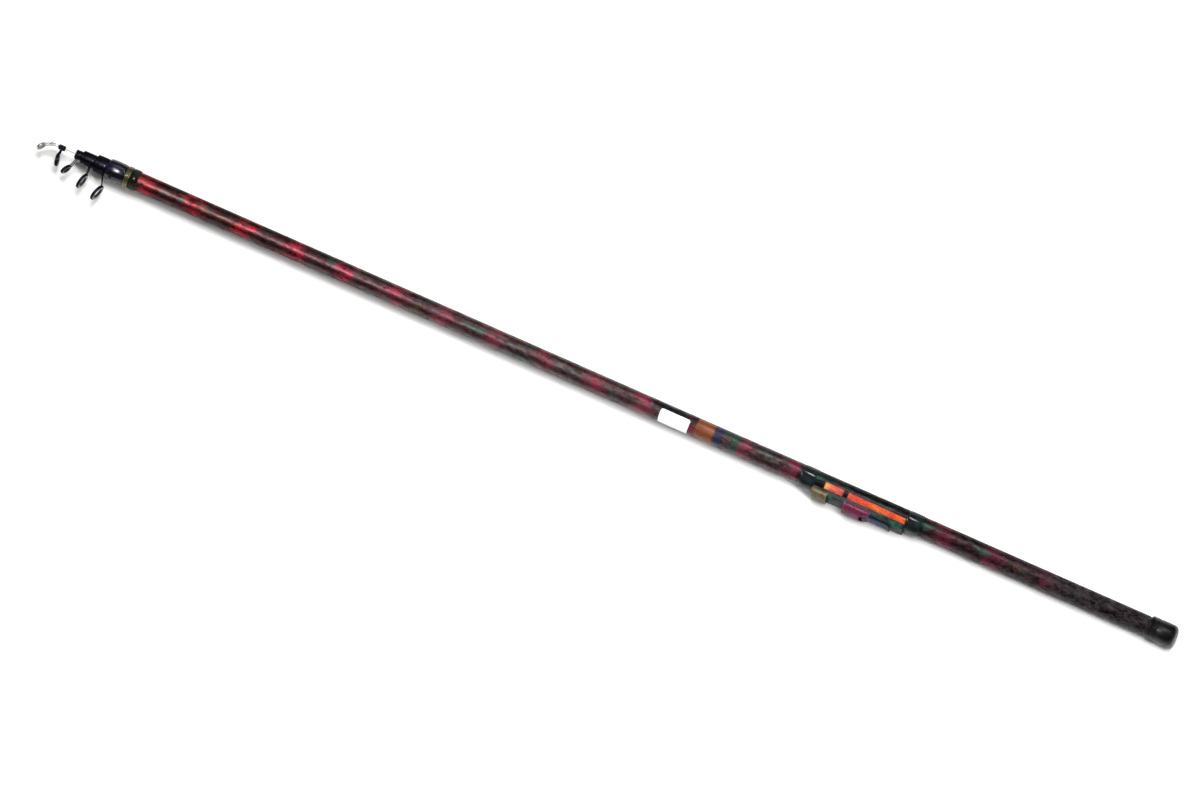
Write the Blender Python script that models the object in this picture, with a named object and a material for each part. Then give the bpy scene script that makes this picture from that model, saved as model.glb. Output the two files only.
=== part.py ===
# Collapsed five-section telescopic fishing rod with line guides, a clip reel seat and a screw-in butt cap.
# Metres, +Z up. The rod lies on its side along X with the butt cap at +X. Its guides and its reel seat
# point to -Y. The origin is under the middle of the rod, on the surface that it lies on.
# Inside the model "x" runs along the rod from the front face of the butt section, "h" is the height away
# from the rod's axis on the guide side, and "z" is across.
import math

import bmesh
import bpy
from mathutils import Matrix, Vector

MM = 0.001

# Fits and facets
SIDES = 24                         # flats round every piece on the rod's axis, one of them facing down
RING_SIDES = 20                    # flats round guide rings
GLUE_GAP = 0.3 * MM                # between a piece and what it is glued, bound or laid on
SLIDE_GAP = 0.15 * MM              # between two sections at full extension
PIN_GAP = 0.3 * MM                 # between a pin and its hole

# Butt section
BUTT_LENGTH = 1147 * MM
BUTT_FRONT_RADIUS = 9.5 * MM
BUTT_TAPER = 1.0 * MM              # how much larger the rear radius is
BUTT_WALL = 1.1 * MM

# Inner sections, largest first: the drop in radius from base to front, the wall, and how far the base
# stays inside the section before it when drawn out
SECTION_NAMES = ("section_2", "section_3", "section_4")
SECTION_TAPERS = (1.1 * MM, 1.15 * MM, 1.2 * MM)
SECTION_WALLS = (0.9 * MM, 0.8 * MM, 0.75 * MM)
SECTION_OVERLAPS = (110 * MM, 100 * MM, 90 * MM)
TIP_FRONT = 63 * MM
TIP_FRONT_RADIUS = 0.6 * MM
TIP_OVERLAP = 80 * MM

# Line guides on the inner sections, largest first
SLEEVE_LENGTHS = (13.0 * MM, 15.0 * MM, 7.1 * MM)
SLEEVE_STOP = 0.5 * MM             # how far a sleeve is larger than the bore that it stops against
RING_RADII = (9.0 * MM, 8.6 * MM, 6.2 * MM)
RING_HEIGHTS = (28.5 * MM, 23.5 * MM, 19.0 * MM)
RING_SETBACKS = (14.2 * MM, 10.5 * MM, -2.0 * MM)    # ring centre behind the sleeve's front face
RING_LEANS = (19, 15, 32)                            # degrees, top of the ring towards the tip
RING_HOLDER_WALL = 0.9 * MM
RING_HOLDER_WIDTH = 1.8 * MM
RING_INSERT_WALLS = (1.6 * MM, 1.5 * MM, 1.1 * MM)
RING_INSERT_WIDTH = 2.6 * MM
RING_INSERT_EDGE = 0.2 * MM        # how far the insert's corners are rounded off
LEG_RADIUS = 0.8 * MM
LEG_SINK = 0.35                    # share of a leg's radius that is sunk into the sleeve
LEG_SEAT_TURN = 38                 # degrees round the sleeve from the middle of the guide side
LEG_RING_TURN = 34                 # degrees round the ring from where it is nearest to the rod
LEG_BOW_WIDTH = 0.78               # half distance between the legs half way up, in sleeve radii
SLEEVE_MIN_WALL = 0.9 * MM

# Whippings behind the sleeves
WHIPPING_LENGTH = 11 * MM
WHIPPING_WALL = 0.35 * MM

# Guide that slides on the tip section
SLIDER_BORE_RADIUS = 1.45 * MM
SLIDER_WALL = 1.3 * MM
SLIDER_LENGTH = 7 * MM
SLIDER_RING_RADIUS = 6.3 * MM
SLIDER_RING_HEIGHT = 13.8 * MM
SLIDER_RING_SETBACK = 4.4 * MM
SLIDER_RING_LEAN = -12
SLIDER_INSERT_WALL = 1.1 * MM
SLIDER_LEG_RADIUS = 0.7 * MM

# Tip-top
TIP_TOP_TUBE_LENGTH = 9 * MM
TIP_TOP_WALL = 0.7 * MM
TIP_TOP_OVERHANG = 1.0 * MM        # the tube's front face ahead of the tip section's end
TIP_TOP_GAP = 0.25 * MM            # between the tip section and the tube
TIP_TOP_RING_RADIUS = 5.4 * MM
TIP_TOP_RING_HEIGHT = 7.2 * MM
TIP_TOP_RING_AHEAD = 7.4 * MM      # ring centre ahead of the tube's front face
TIP_TOP_RING_LEAN = 36
TIP_TOP_INSERT_WALL = 1.0 * MM
TIP_TOP_LEG_RADIUS = 0.6 * MM
TIP_TOP_LEG_SEAT_TURN = 60         # degrees round the tube from the middle of the guide side
TIP_TOP_LEG_RING_TURN = 55
TIP_TOP_LEG_BOW_AHEAD = 2.2 * MM
TIP_TOP_LEG_BOW_WIDTH = 0.67       # in ring radii
TIP_TOP_BRACE_BOW_AHEAD = 2.0 * MM
TIP_TOP_BRACE_WIRE = 0.8           # of the side wires' radius

# Bands at the front of the butt section
COLLAR_LENGTH = 19.5 * MM
COLLAR_EDGE_WALL = 0.9 * MM
COLLAR_BULGE = 0.7 * MM
CHECK_START = 20 * MM
CHECK_LENGTH = 5 * MM
CHECK_WALL = 1.0 * MM
BAND_START = 25.4 * MM
BAND_LENGTH = 8.6 * MM
BAND_EDGE_WALL = 0.5 * MM
BAND_BULGE = 0.4 * MM

# Label on the butt section, counted in facets from the one that faces straight up
LABEL_START = 613 * MM
LABEL_LENGTH = 32 * MM
LABEL_WALL = 0.25 * MM
LABEL_FIRST_FACET = 0
LABEL_FACETS = 7

# Reel seat plate
SEAT_START = 784 * MM
SEAT_LENGTH = 100 * MM
SEAT_THICKNESS = 3.6 * MM          # of the plate over the blank
SEAT_FLANGE_HALF_WIDTH = 8.8 * MM
SEAT_FLANGE_DEPTH = 2.2 * MM
SEAT_WEB_HALF_WIDTH = 7.4 * MM
SEAT_CHAMFER = 0.6 * MM
LAND_RISE = 0.15 * MM              # raised land between the hoods that the reel's foot lies on
LAND_HALF_WIDTH = 5 * MM
LAND_MARGIN = 1.6 * MM             # from the land to each hood
TONGUE_LENGTH = 15 * MM
TONGUE_WALL = 0.8 * MM
TONGUE_FACETS = 3

# Bindings over the plate's tongues
BINDING_LENGTH = 15.4 * MM
BINDING_WALL = 1.7 * MM
BINDING_EDGE_WALL = 1.3 * MM

# Hoods that hold the reel's foot
HOOD_WALL = 1.2 * MM
HOOD_SKIRT = 3.2 * MM              # how far the skirts reach below the plate's top
HOOD_GAP = 0.3 * MM
FOOT_HALF_WIDTH = 6.4 * MM
FOOT_HEIGHT = 4.9 * MM
FIXED_HOOD_LENGTH = 17.4 * MM
FIXED_HOOD_RISE = 6.1 * MM         # above the plate's top
FIXED_HOOD_DEPTH = 13.5 * MM
SLIDE_HOOD_START = 820 * MM
SLIDE_HOOD_LENGTH = 28 * MM
SLIDE_HOOD_RISE = 7.8 * MM
SLIDE_HOOD_DEPTH = 14 * MM

# Lock lever on the sliding hood
LEVER_SLOT_START = 18.5 * MM       # behind the sliding hood's mouth
LEVER_HALF_WIDTH = 5.2 * MM
LEVER_PIVOT_SETBACK = 23.5 * MM    # behind the sliding hood's mouth
LEVER_PIVOT_RISE = 2.7 * MM        # above the plate's top
LEVER_HUB_RADIUS = 2.2 * MM
LEVER_HUB_DROP = 0.2 * MM          # the hub's centre under the pivot, which makes it a cam
LEVER_HUB_TURN = 225               # degrees of the hub that are round
LEVER_LENGTH = 28.5 * MM
LEVER_ARM_TOP = 0.5 * MM           # under the pivot
LEVER_ARM_BOTTOM = 2.3 * MM        # under the pivot
LEVER_TIP_LIFT = 1.0 * MM
LEVER_TIP_LENGTH = 4.5 * MM
LEVER_TIP_BEVEL = 0.8 * MM
PIN_RADIUS = 0.8 * MM
PIN_SEAT = 2.1 * MM                # how far the pin goes into the hood at each side of the lever

# Butt end: threaded bush, seal, cap
BUSH_LENGTH = 22 * MM
BUSH_WALL = 0.55 * MM
THREAD_GAP = 0.25 * MM
SEAL_THICKNESS = 1.8 * MM
FLANGE_THICKNESS = 3.0 * MM
FLANGE_RIM = 0.3 * MM              # how far the flange stands out over the blank
SHANK_LENGTH = 24.7 * MM
PAD_THICKNESS = 3.7 * MM
CORE_RADIUS = 8.0 * MM
CORE_LENGTH = 19 * MM
BOOT_LENGTH = 29.6 * MM
BOOT_WALL = 1.4 * MM
CAP_SKIRT_EDGE = 0.8 * MM
CAP_ROUNDING = 5 * MM


# Sizes that follow from the ones above

BUTT_REAR_RADIUS = BUTT_FRONT_RADIUS + BUTT_TAPER


def butt_radius(x):
    """Outer radius of the butt section at x."""
    return BUTT_FRONT_RADIUS + BUTT_TAPER * x / BUTT_LENGTH


SEAT_END = SEAT_START + SEAT_LENGTH
SADDLE_RADIUS = butt_radius(SEAT_END + TONGUE_LENGTH) + GLUE_GAP
SEAT_TOP = SADDLE_RADIUS + SEAT_THICKNESS
HOOD_HALF_WIDTH = SEAT_FLANGE_HALF_WIDTH + HOOD_GAP + HOOD_WALL
FIXED_HOOD_HEIGHT = SEAT_TOP + FIXED_HOOD_RISE
SLIDE_HOOD_HEIGHT = SEAT_TOP + SLIDE_HOOD_RISE
LEVER_PIVOT_HEIGHT = SEAT_TOP + LEVER_PIVOT_RISE
PIN_HALF_LENGTH = LEVER_HALF_WIDTH + PIN_GAP + PIN_SEAT

SEAL_START = BUTT_LENGTH + GLUE_GAP
FLANGE_START = SEAL_START + SEAL_THICKNESS + GLUE_GAP
FLANGE_RADIUS = BUTT_REAR_RADIUS + FLANGE_RIM
CAP_RADIUS = FLANGE_RADIUS + GLUE_GAP + BOOT_WALL
CAP_END = FLANGE_START + BOOT_LENGTH
SHANK_START = FLANGE_START - SHANK_LENGTH
PAD_START = SHANK_START - GLUE_GAP - PAD_THICKNESS
BASE_END = PAD_START - GLUE_GAP                      # where every inner section ends at the butt
BUSH_BORE = butt_radius(BUTT_LENGTH - BUSH_LENGTH) - BUTT_WALL - GLUE_GAP - BUSH_WALL
SHANK_RADIUS = BUSH_BORE - THREAD_GAP


def plan_sections():
    """Place and radii of each inner section.

    front is how far it stands out in front of the butt: as far as its guide's sleeve is long, which stops
    against the sleeve or the butt behind it. Its radii make it wedge in the section before it.
    """
    plans = []
    front = -GLUE_GAP
    bore_front = BUTT_FRONT_RADIUS - BUTT_WALL
    bore_slope = BUTT_TAPER / BUTT_LENGTH
    rows = zip(SECTION_NAMES, SLEEVE_LENGTHS, SECTION_TAPERS, SECTION_WALLS, SECTION_OVERLAPS)
    for name, sleeve, taper, wall, overlap in rows:
        front += GLUE_GAP + sleeve
        length = BASE_END + front
        base = bore_front + bore_slope * overlap - SLIDE_GAP
        plans.append({
            "name": name, "front": front, "length": length, "wall": wall,
            "front_radius": base - taper, "base_radius": base, "stop_bore": bore_front,
        })
        bore_front = base - taper - wall
        bore_slope = taper / length
    return plans, bore_front + bore_slope * TIP_OVERLAP - SLIDE_GAP


SECTIONS, TIP_BASE_RADIUS = plan_sections()
TIP_LENGTH = BASE_END + TIP_FRONT


def ring_reach(radius, lean):
    """How far a leaning ring reaches from its centre, away from the rod and along it."""
    lean = math.radians(lean)
    half = RING_HOLDER_WIDTH / 2
    away = radius * math.cos(lean) + half * math.sin(lean)
    along = radius * math.sin(lean) + half * math.cos(lean)
    return away, along


GUIDE_REACH = RING_HEIGHTS[0] + ring_reach(RING_RADII[0], RING_LEANS[0])[0]
TIP_TOP_REACH = TIP_TOP_RING_AHEAD + ring_reach(TIP_TOP_RING_RADIUS, TIP_TOP_RING_LEAN)[1]
TIP_REACH = TIP_FRONT + TIP_TOP_OVERHANG + TIP_TOP_REACH
AXIS_X = -(CAP_END - TIP_REACH) / 2
AXIS_Y = (GUIDE_REACH - CAP_RADIUS) / 2
AXIS_Z = CAP_RADIUS


# Mesh helpers

def finish(name, colour, roughness, metallic=0.0):
    material = bpy.data.materials.new(name)
    material.use_nodes = True
    shader = material.node_tree.nodes["Principled BSDF"]
    shader.inputs["Base Color"].default_value = (*colour, 1)
    shader.inputs["Roughness"].default_value = roughness
    shader.inputs["Metallic"].default_value = metallic
    material.diffuse_color = (*colour, 1)
    return material


def closed(bm):
    """Weld a shell's seams and turn its faces outwards."""
    bmesh.ops.remove_doubles(bm, verts=bm.verts, dist=1e-7)
    bmesh.ops.recalc_face_normals(bm, faces=bm.faces)
    if bm.calc_volume(signed=True) < 0:
        bmesh.ops.reverse_faces(bm, faces=bm.faces)
    return bm


def turned(profile, sides=SIDES, solid=False):
    """Spin (x, radius) points about X, radii measured to the flats. A solid's profile ends on the axis."""
    bm = bmesh.new()
    half = math.pi / sides
    reach = 1 / math.cos(half)
    verts = []
    for x, radius in profile:
        corner = radius * reach
        verts.append(bm.verts.new((x, corner * math.sin(half), corner * math.cos(half))))
    edges = [bm.edges.new(pair) for pair in zip(verts, verts[1:])]
    if not solid:
        edges.append(bm.edges.new((verts[-1], verts[0])))
    bmesh.ops.spin(
        bm, geom=verts + edges, axis=(1, 0, 0), cent=(0, 0, 0), angle=2 * math.pi, steps=sides
    )
    return closed(bm)


def lofted(stations):
    """Skin a row of like outlines. Each station is (x, [(z, h), ...])."""
    bm = bmesh.new()
    loops = [[bm.verts.new((x, -h, z)) for z, h in outline] for x, outline in stations]
    for near, far in zip(loops, loops[1:]):
        count = len(near)
        for i in range(count):
            j = (i + 1) % count
            bm.faces.new((near[i], near[j], far[j], far[i]))
    bm.faces.new(loops[0])
    bm.faces.new(loops[-1])
    return closed(bm)


def extruded(outline, start, end):
    """A prism along X with one (z, h) outline."""
    return lofted([(start, outline), (end, outline)])


def slab(outline, half_width):
    """A plate cut to an (x, h) outline, centred across."""
    bm = bmesh.new()
    loops = [[bm.verts.new((x, -h, z)) for x, h in outline] for z in (-half_width, half_width)]
    count = len(outline)
    for i in range(count):
        j = (i + 1) % count
        bm.faces.new((loops[0][i], loops[0][j], loops[1][j], loops[1][i]))
    bm.faces.new(loops[0])
    bm.faces.new(loops[1])
    return closed(bm)


def rod_across(x, h, radius, half_length, sides=12):
    """A round pin along Z through (x, h)."""
    profile = [(-half_length, 0), (-half_length, radius), (half_length, radius), (half_length, 0)]
    bm = turned(profile, sides, solid=True)
    bm.transform(Matrix.Translation((x, -h, 0)) @ Matrix.Rotation(math.radians(-90), 4, "Y"))
    return closed(bm)


def swept(points, radius, across=(1, 0, 0), sides=8):
    """A round wire through points. No stretch of it may run along the across direction."""
    bm = bmesh.new()
    across = Vector(across)
    rings = []
    for i, point in enumerate(points):
        ahead = points[min(i + 1, len(points) - 1)] - points[max(i - 1, 0)]
        ahead.normalize()
        first = (across - ahead * ahead.dot(across)).normalized()
        second = ahead.cross(first)
        turns = [2 * math.pi * k / sides for k in range(sides)]
        rings.append([
            bm.verts.new(point + radius * (math.cos(a) * first + math.sin(a) * second)) for a in turns
        ])
    for near, far in zip(rings, rings[1:]):
        for k in range(sides):
            m = (k + 1) % sides
            bm.faces.new((near[k], near[m], far[m], far[k]))
    bm.faces.new(rings[0])
    bm.faces.new(rings[-1])
    return closed(bm)


def curve_points(start, control, end, steps=5):
    """Points of a quadratic curve."""
    points = []
    for i in range(steps + 1):
        t = i / steps
        points.append(start * (1 - t) ** 2 + control * 2 * t * (1 - t) + end * t ** 2)
    return points


def scratch_object(bm):
    mesh = bpy.data.meshes.new("scratch")
    bm.to_mesh(mesh)
    bm.free()
    obj = bpy.data.objects.new("scratch", mesh)
    bpy.context.scene.collection.objects.link(obj)
    return obj


def combined(base, tools, operation):
    """Join the tools to the base ("UNION") or cut them out of it ("DIFFERENCE")."""
    base = scratch_object(base)
    tools = [scratch_object(tool) for tool in tools]
    for tool in tools:
        step = base.modifiers.new("step", "BOOLEAN")
        step.operation = operation
        step.solver = "EXACT"
        step.object = tool
    result = bmesh.new()
    result.from_object(base, bpy.context.evaluated_depsgraph_get())
    for obj in [base, *tools]:
        mesh = obj.data
        bpy.data.objects.remove(obj)
        bpy.data.meshes.remove(mesh)
    return closed(result)


def place(name, bm, material, parent, location=(0, 0, 0)):
    """Turn a bmesh into a named object under its parent."""
    mesh = bpy.data.meshes.new(name)
    bm.to_mesh(mesh)
    bm.free()
    mesh.materials.append(material)
    mesh.shade_smooth()
    mesh.set_sharp_from_angle(angle=math.radians(35))
    obj = bpy.data.objects.new(name, mesh)
    bpy.context.scene.collection.objects.link(obj)
    obj.parent = parent
    obj.location = location
    return obj


def axis_empty(name, parent, location):
    obj = bpy.data.objects.new(name, None)
    bpy.context.scene.collection.objects.link(obj)
    obj.parent = parent
    obj.location = location
    obj.empty_display_size = 0.02
    return obj


# Shapes that repeat

def tube_profile(start, end, outer_start, outer_end, wall):
    return [(start, outer_start), (end, outer_end), (end, outer_end - wall), (start, outer_start - wall)]


def bulged_profile(start, end, bore, edge_wall, bulge, steps=6):
    """A band whose outer side swells towards its middle."""
    profile = [(start, bore), (end, bore)]
    for i in range(steps, -1, -1):
        t = i / steps
        swell = bulge * (1 - (2 * t - 1) ** 2)
        profile.append((start + (end - start) * t, bore + edge_wall + swell))
    return profile


def facet_arc(radius, first, count):
    """(z, h) corners along a run of the blank's facets. Facet 0 faces up and 6 faces the guide side."""
    step = 2 * math.pi / SIDES
    corner = radius / math.cos(step / 2)
    angles = [(first + i - 0.5) * step for i in range(count + 1)]
    return [(corner * math.cos(a), corner * math.sin(a)) for a in angles]


def facet_band(inner, outer, first, count):
    """(z, h) outline of a thin skin that follows a run of the blank's facets."""
    return facet_arc(inner, first, count) + facet_arc(outer, first, count)[::-1]


def ring_frame_matrix(x, h, lean):
    return Matrix.Translation((x, -h, 0)) @ Matrix.Rotation(-math.radians(lean), 4, "Z")


def ring_holder(x, h, lean, radius):
    half = RING_HOLDER_WIDTH / 2
    bm = turned(tube_profile(-half, half, radius, radius, RING_HOLDER_WALL), RING_SIDES)
    bm.transform(ring_frame_matrix(x, h, lean))
    return closed(bm)


def ring_insert(x, h, lean, radius, wall):
    """The hard ring that the line runs over, rounded towards its bore."""
    outer = radius - RING_HOLDER_WALL - GLUE_GAP
    bore = outer - wall
    half = RING_INSERT_WIDTH / 2
    middle = (outer + bore) / 2
    edge = RING_INSERT_EDGE
    profile = [
        (-half, outer - edge), (-half * 0.8, outer), (half * 0.8, outer), (half, outer - edge),
        (half, middle), (half / 2, bore + edge), (0, bore), (-half / 2, bore + edge), (-half, middle),
    ]
    bm = turned(profile, RING_SIDES)
    bm.transform(ring_frame_matrix(x, h, lean))
    return closed(bm)


def ring_point(x, h, lean, radius, turn):
    """A point in the holder's wall, turn degrees round from where it is nearest to the rod."""
    along = math.radians(lean)
    away = math.radians(turn)
    mid = radius - RING_HOLDER_WALL / 2
    down = mid * math.cos(away)
    return Vector((x + down * math.sin(along), -(h - down * math.cos(along)), mid * math.sin(away)))


def guide_frame(bore, outer, length, ring, leg_radius, leg_seat):
    """Foot sleeve, two bent legs and ring holder as one frame. x = 0 is the sleeve's front face.

    ring is (x, h, lean, radius) and leg_seat is where the legs leave the sleeve, along x.
    """
    sleeve = turned(tube_profile(0, length, outer, outer, outer - bore))
    parts = [ring_holder(*ring)]
    for side in (-1, 1):
        out = math.radians(LEG_SEAT_TURN)
        seat_radius = outer - leg_radius * LEG_SINK
        seat = Vector((leg_seat, -seat_radius * math.cos(out), side * seat_radius * math.sin(out)))
        end = ring_point(*ring, side * LEG_RING_TURN)
        middle = seat.lerp(end, 0.5)
        control = Vector(((seat.x + middle.x) / 2, middle.y, side * seat_radius * LEG_BOW_WIDTH))
        parts.append(swept(curve_points(seat, control, end), leg_radius))
    return combined(sleeve, parts, "UNION")


def hood_outline(height):
    """(z, h) outline of a hood's outside: upright skirts under a round top."""
    bottom = SEAT_TOP - HOOD_SKIRT
    arc = [math.pi * i / 12 for i in range(13)]
    top = [(HOOD_HALF_WIDTH * math.cos(a), SEAT_TOP + (height - SEAT_TOP) * math.sin(a)) for a in arc]
    return [(-HOOD_HALF_WIDTH, bottom), (HOOD_HALF_WIDTH, bottom)] + top


def plate_outline(grow):
    """(z, h) outline of the plate's web and flange, grown on every side for a cut."""
    web = SEAT_WEB_HALF_WIDTH + grow
    flange = SEAT_FLANGE_HALF_WIDTH + grow
    low = SEAT_TOP - SEAT_FLANGE_DEPTH - grow
    top = SEAT_TOP + grow
    chamfer = SEAT_CHAMFER
    return [
        (web, low), (flange, low), (flange, top - chamfer), (flange - chamfer, top),
        (chamfer - flange, top), (-flange, top - chamfer), (-flange, low), (-web, low),
    ]


def foot_cavity(start, end):
    """The space under a hood where the reel's foot goes."""
    arc = [math.pi * i / 8 for i in range(9)]
    floor = SEAT_TOP + HOOD_GAP
    outline = [(FOOT_HALF_WIDTH * math.cos(a), floor + FOOT_HEIGHT * math.sin(a)) for a in arc]
    outline += [(-FOOT_HALF_WIDTH, SEAT_TOP - MM), (FOOT_HALF_WIDTH, SEAT_TOP - MM)]
    return extruded(outline, start, end)


def plate_channel(start, end):
    """What a hood leaves free for the plate: the flange, and the web between the skirts' lips."""
    flange = plate_outline(HOOD_GAP)
    web = SEAT_WEB_HALF_WIDTH + HOOD_GAP
    deep = SEAT_TOP - HOOD_SKIRT - MM
    return extruded(flange + [(-web, deep), (web, deep)], start, end)


# Sub-parts

def build_butt(axis, looks):
    blank = turned(tube_profile(0, BUTT_LENGTH, BUTT_FRONT_RADIUS, BUTT_REAR_RADIUS, BUTT_WALL))
    butt = place("butt_blank", blank, looks["blank"], axis)
    bands = (
        ("butt_collar", 0, COLLAR_LENGTH, COLLAR_EDGE_WALL, COLLAR_BULGE, "lacquer"),
        ("winding_check", CHECK_START, CHECK_LENGTH, CHECK_WALL, 0.3 * MM, "gold"),
        ("collar_band", BAND_START, BAND_LENGTH, BAND_EDGE_WALL, BAND_BULGE, "lacquer"),
    )
    for name, start, length, edge_wall, bulge, look in bands:
        bore = butt_radius(start + length) + GLUE_GAP
        profile = bulged_profile(start, start + length, bore, edge_wall, bulge)
        place(name, turned(profile), looks[look], butt)
    inner = butt_radius(LABEL_START + LABEL_LENGTH) + GLUE_GAP
    outline = facet_band(inner, inner + LABEL_WALL, LABEL_FIRST_FACET, LABEL_FACETS)
    place("blank_label", extruded(outline, LABEL_START, LABEL_START + LABEL_LENGTH), looks["label"], butt)
    return butt


def tongue_outline(grow):
    """(z, h) outline of a plate tongue bound to the blank, grown on every side for a cut."""
    first = SIDES // 4 - TONGUE_FACETS // 2
    band = facet_band(SADDLE_RADIUS - grow, SADDLE_RADIUS + TONGUE_WALL + grow, first, TONGUE_FACETS)
    stretch = 1 + grow / (SADDLE_RADIUS * math.sin(math.pi * TONGUE_FACETS / SIDES))
    return [(z * stretch, h) for z, h in band]


def saddle_facets():
    """How many of the blank's facets the plate's underside follows: the most that fit under its web."""
    corner = SADDLE_RADIUS / math.cos(math.pi / SIDES)
    facets = int(math.asin(SEAT_WEB_HALF_WIDTH / corner) * SIDES / math.pi)
    return facets if facets % 2 else facets - 1


def build_reel_seat(butt, looks):
    facets = saddle_facets()
    arc = facet_arc(SADDLE_RADIUS, SIDES // 4 - facets // 2, facets)
    outline = arc[::-1] + [(SEAT_WEB_HALF_WIDTH, arc[0][1])] + plate_outline(0)
    outline += [(-SEAT_WEB_HALF_WIDTH, arc[0][1])]
    plate = extruded(outline, SEAT_START, SEAT_END)
    bite = MM
    tongues = [
        extruded(tongue_outline(0), SEAT_START - TONGUE_LENGTH, SEAT_START + bite),
        extruded(tongue_outline(0), SEAT_END - bite, SEAT_END + TONGUE_LENGTH),
    ]
    land = [
        (-LAND_HALF_WIDTH, SEAT_TOP - bite), (LAND_HALF_WIDTH, SEAT_TOP - bite),
        (LAND_HALF_WIDTH, SEAT_TOP + LAND_RISE), (-LAND_HALF_WIDTH, SEAT_TOP + LAND_RISE),
    ]
    land_start = SEAT_START + FIXED_HOOD_LENGTH + LAND_MARGIN
    raised = extruded(land, land_start, SLIDE_HOOD_START - LAND_MARGIN)
    place("seat_plate", combined(plate, [*tongues, raised], "UNION"), looks["plate"], butt)

    front = SEAT_START - GLUE_GAP
    rear = SEAT_END + GLUE_GAP
    bindings = (
        ("seat_front_binding", front - BINDING_LENGTH, front),
        ("seat_rear_binding", rear, rear + BINDING_LENGTH),
    )
    for name, start, end in bindings:
        bore = butt_radius(end) + GLUE_GAP
        bulge = BINDING_WALL - BINDING_EDGE_WALL
        band = turned(bulged_profile(start, end, bore, BINDING_EDGE_WALL, bulge))
        blind = BINDING_LENGTH - TONGUE_LENGTH
        pocket_start = start + blind / 2 if start < SEAT_START else start - MM
        pocket_end = end + MM if start < SEAT_START else end - blind / 2
        pocket = extruded(tongue_outline(GLUE_GAP), pocket_start, pocket_end)
        place(name, combined(band, [pocket], "DIFFERENCE"), looks["lacquer"], butt)

    start, end = SEAT_START, SEAT_START + FIXED_HOOD_LENGTH
    stations = [
        (start, hood_outline(FIXED_HOOD_HEIGHT - 3.4 * MM)),
        (start + 1.6 * MM, hood_outline(FIXED_HOOD_HEIGHT - 1.6 * MM)),
        (start + 5 * MM, hood_outline(FIXED_HOOD_HEIGHT)),
        (end, hood_outline(FIXED_HOOD_HEIGHT)),
    ]
    cuts = [
        plate_channel(start - MM, end + MM),
        foot_cavity(end - FIXED_HOOD_DEPTH, end + MM),
    ]
    place("fixed_hood", combined(lofted(stations), cuts, "DIFFERENCE"), looks["hood"], butt)


def build_slide_hood(butt, looks):
    """The sliding hood with its lock lever. x = 0 is the hood's mouth."""
    slide = axis_empty("slide_hood_axis", butt, (SLIDE_HOOD_START, 0, 0))
    stations = [
        (0, hood_outline(SLIDE_HOOD_HEIGHT)),
        (SLIDE_HOOD_DEPTH, hood_outline(SLIDE_HOOD_HEIGHT)),
        (LEVER_SLOT_START, hood_outline(SLIDE_HOOD_HEIGHT - 0.6 * MM)),
        (SLIDE_HOOD_LENGTH - 2 * MM, hood_outline(SLIDE_HOOD_HEIGHT - 2.2 * MM)),
        (SLIDE_HOOD_LENGTH, hood_outline(SLIDE_HOOD_HEIGHT - 3.4 * MM)),
    ]
    slot_half = LEVER_HALF_WIDTH + PIN_GAP
    slot = [
        (-slot_half, SEAT_TOP - MM), (slot_half, SEAT_TOP - MM),
        (slot_half, SLIDE_HOOD_HEIGHT + MM), (-slot_half, SLIDE_HOOD_HEIGHT + MM),
    ]
    cuts = [
        plate_channel(-MM, SLIDE_HOOD_LENGTH + MM),
        foot_cavity(-MM, SLIDE_HOOD_DEPTH),
        extruded(slot, LEVER_SLOT_START, SLIDE_HOOD_LENGTH + MM),
        rod_across(LEVER_PIVOT_SETBACK, LEVER_PIVOT_HEIGHT, PIN_RADIUS + PIN_GAP, HOOD_HALF_WIDTH + MM),
    ]
    place("slide_hood", combined(lofted(stations), cuts, "DIFFERENCE"), looks["slide"], slide)
    pin = rod_across(LEVER_PIVOT_SETBACK, LEVER_PIVOT_HEIGHT, PIN_RADIUS, PIN_HALF_LENGTH)
    place("lever_pin", pin, looks["steel"], slide)

    pivot = axis_empty("lock_lever_axis", slide, (LEVER_PIVOT_SETBACK, -LEVER_PIVOT_HEIGHT, 0))
    hub = [math.radians(270 - LEVER_HUB_TURN * i / 10) for i in range(11)]
    outline = [
        (LEVER_HUB_RADIUS * math.cos(a), LEVER_HUB_RADIUS * math.sin(a) - LEVER_HUB_DROP) for a in hub
    ]
    tip_start = LEVER_LENGTH - LEVER_TIP_LENGTH
    outline += [
        (LEVER_HUB_RADIUS * 1.6, -LEVER_ARM_TOP),
        (tip_start, -LEVER_ARM_TOP),
        (LEVER_LENGTH - LEVER_TIP_BEVEL, LEVER_TIP_LIFT),
        (LEVER_LENGTH, LEVER_TIP_LIFT - LEVER_TIP_BEVEL),
        (tip_start + LEVER_TIP_BEVEL, -LEVER_ARM_BOTTOM),
    ]
    lever = slab(outline, LEVER_HALF_WIDTH)
    hole = rod_across(0, 0, PIN_RADIUS + PIN_GAP, LEVER_HALF_WIDTH + MM)
    place("lock_lever", combined(lever, [hole], "DIFFERENCE"), looks["lever"], pivot)


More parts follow.
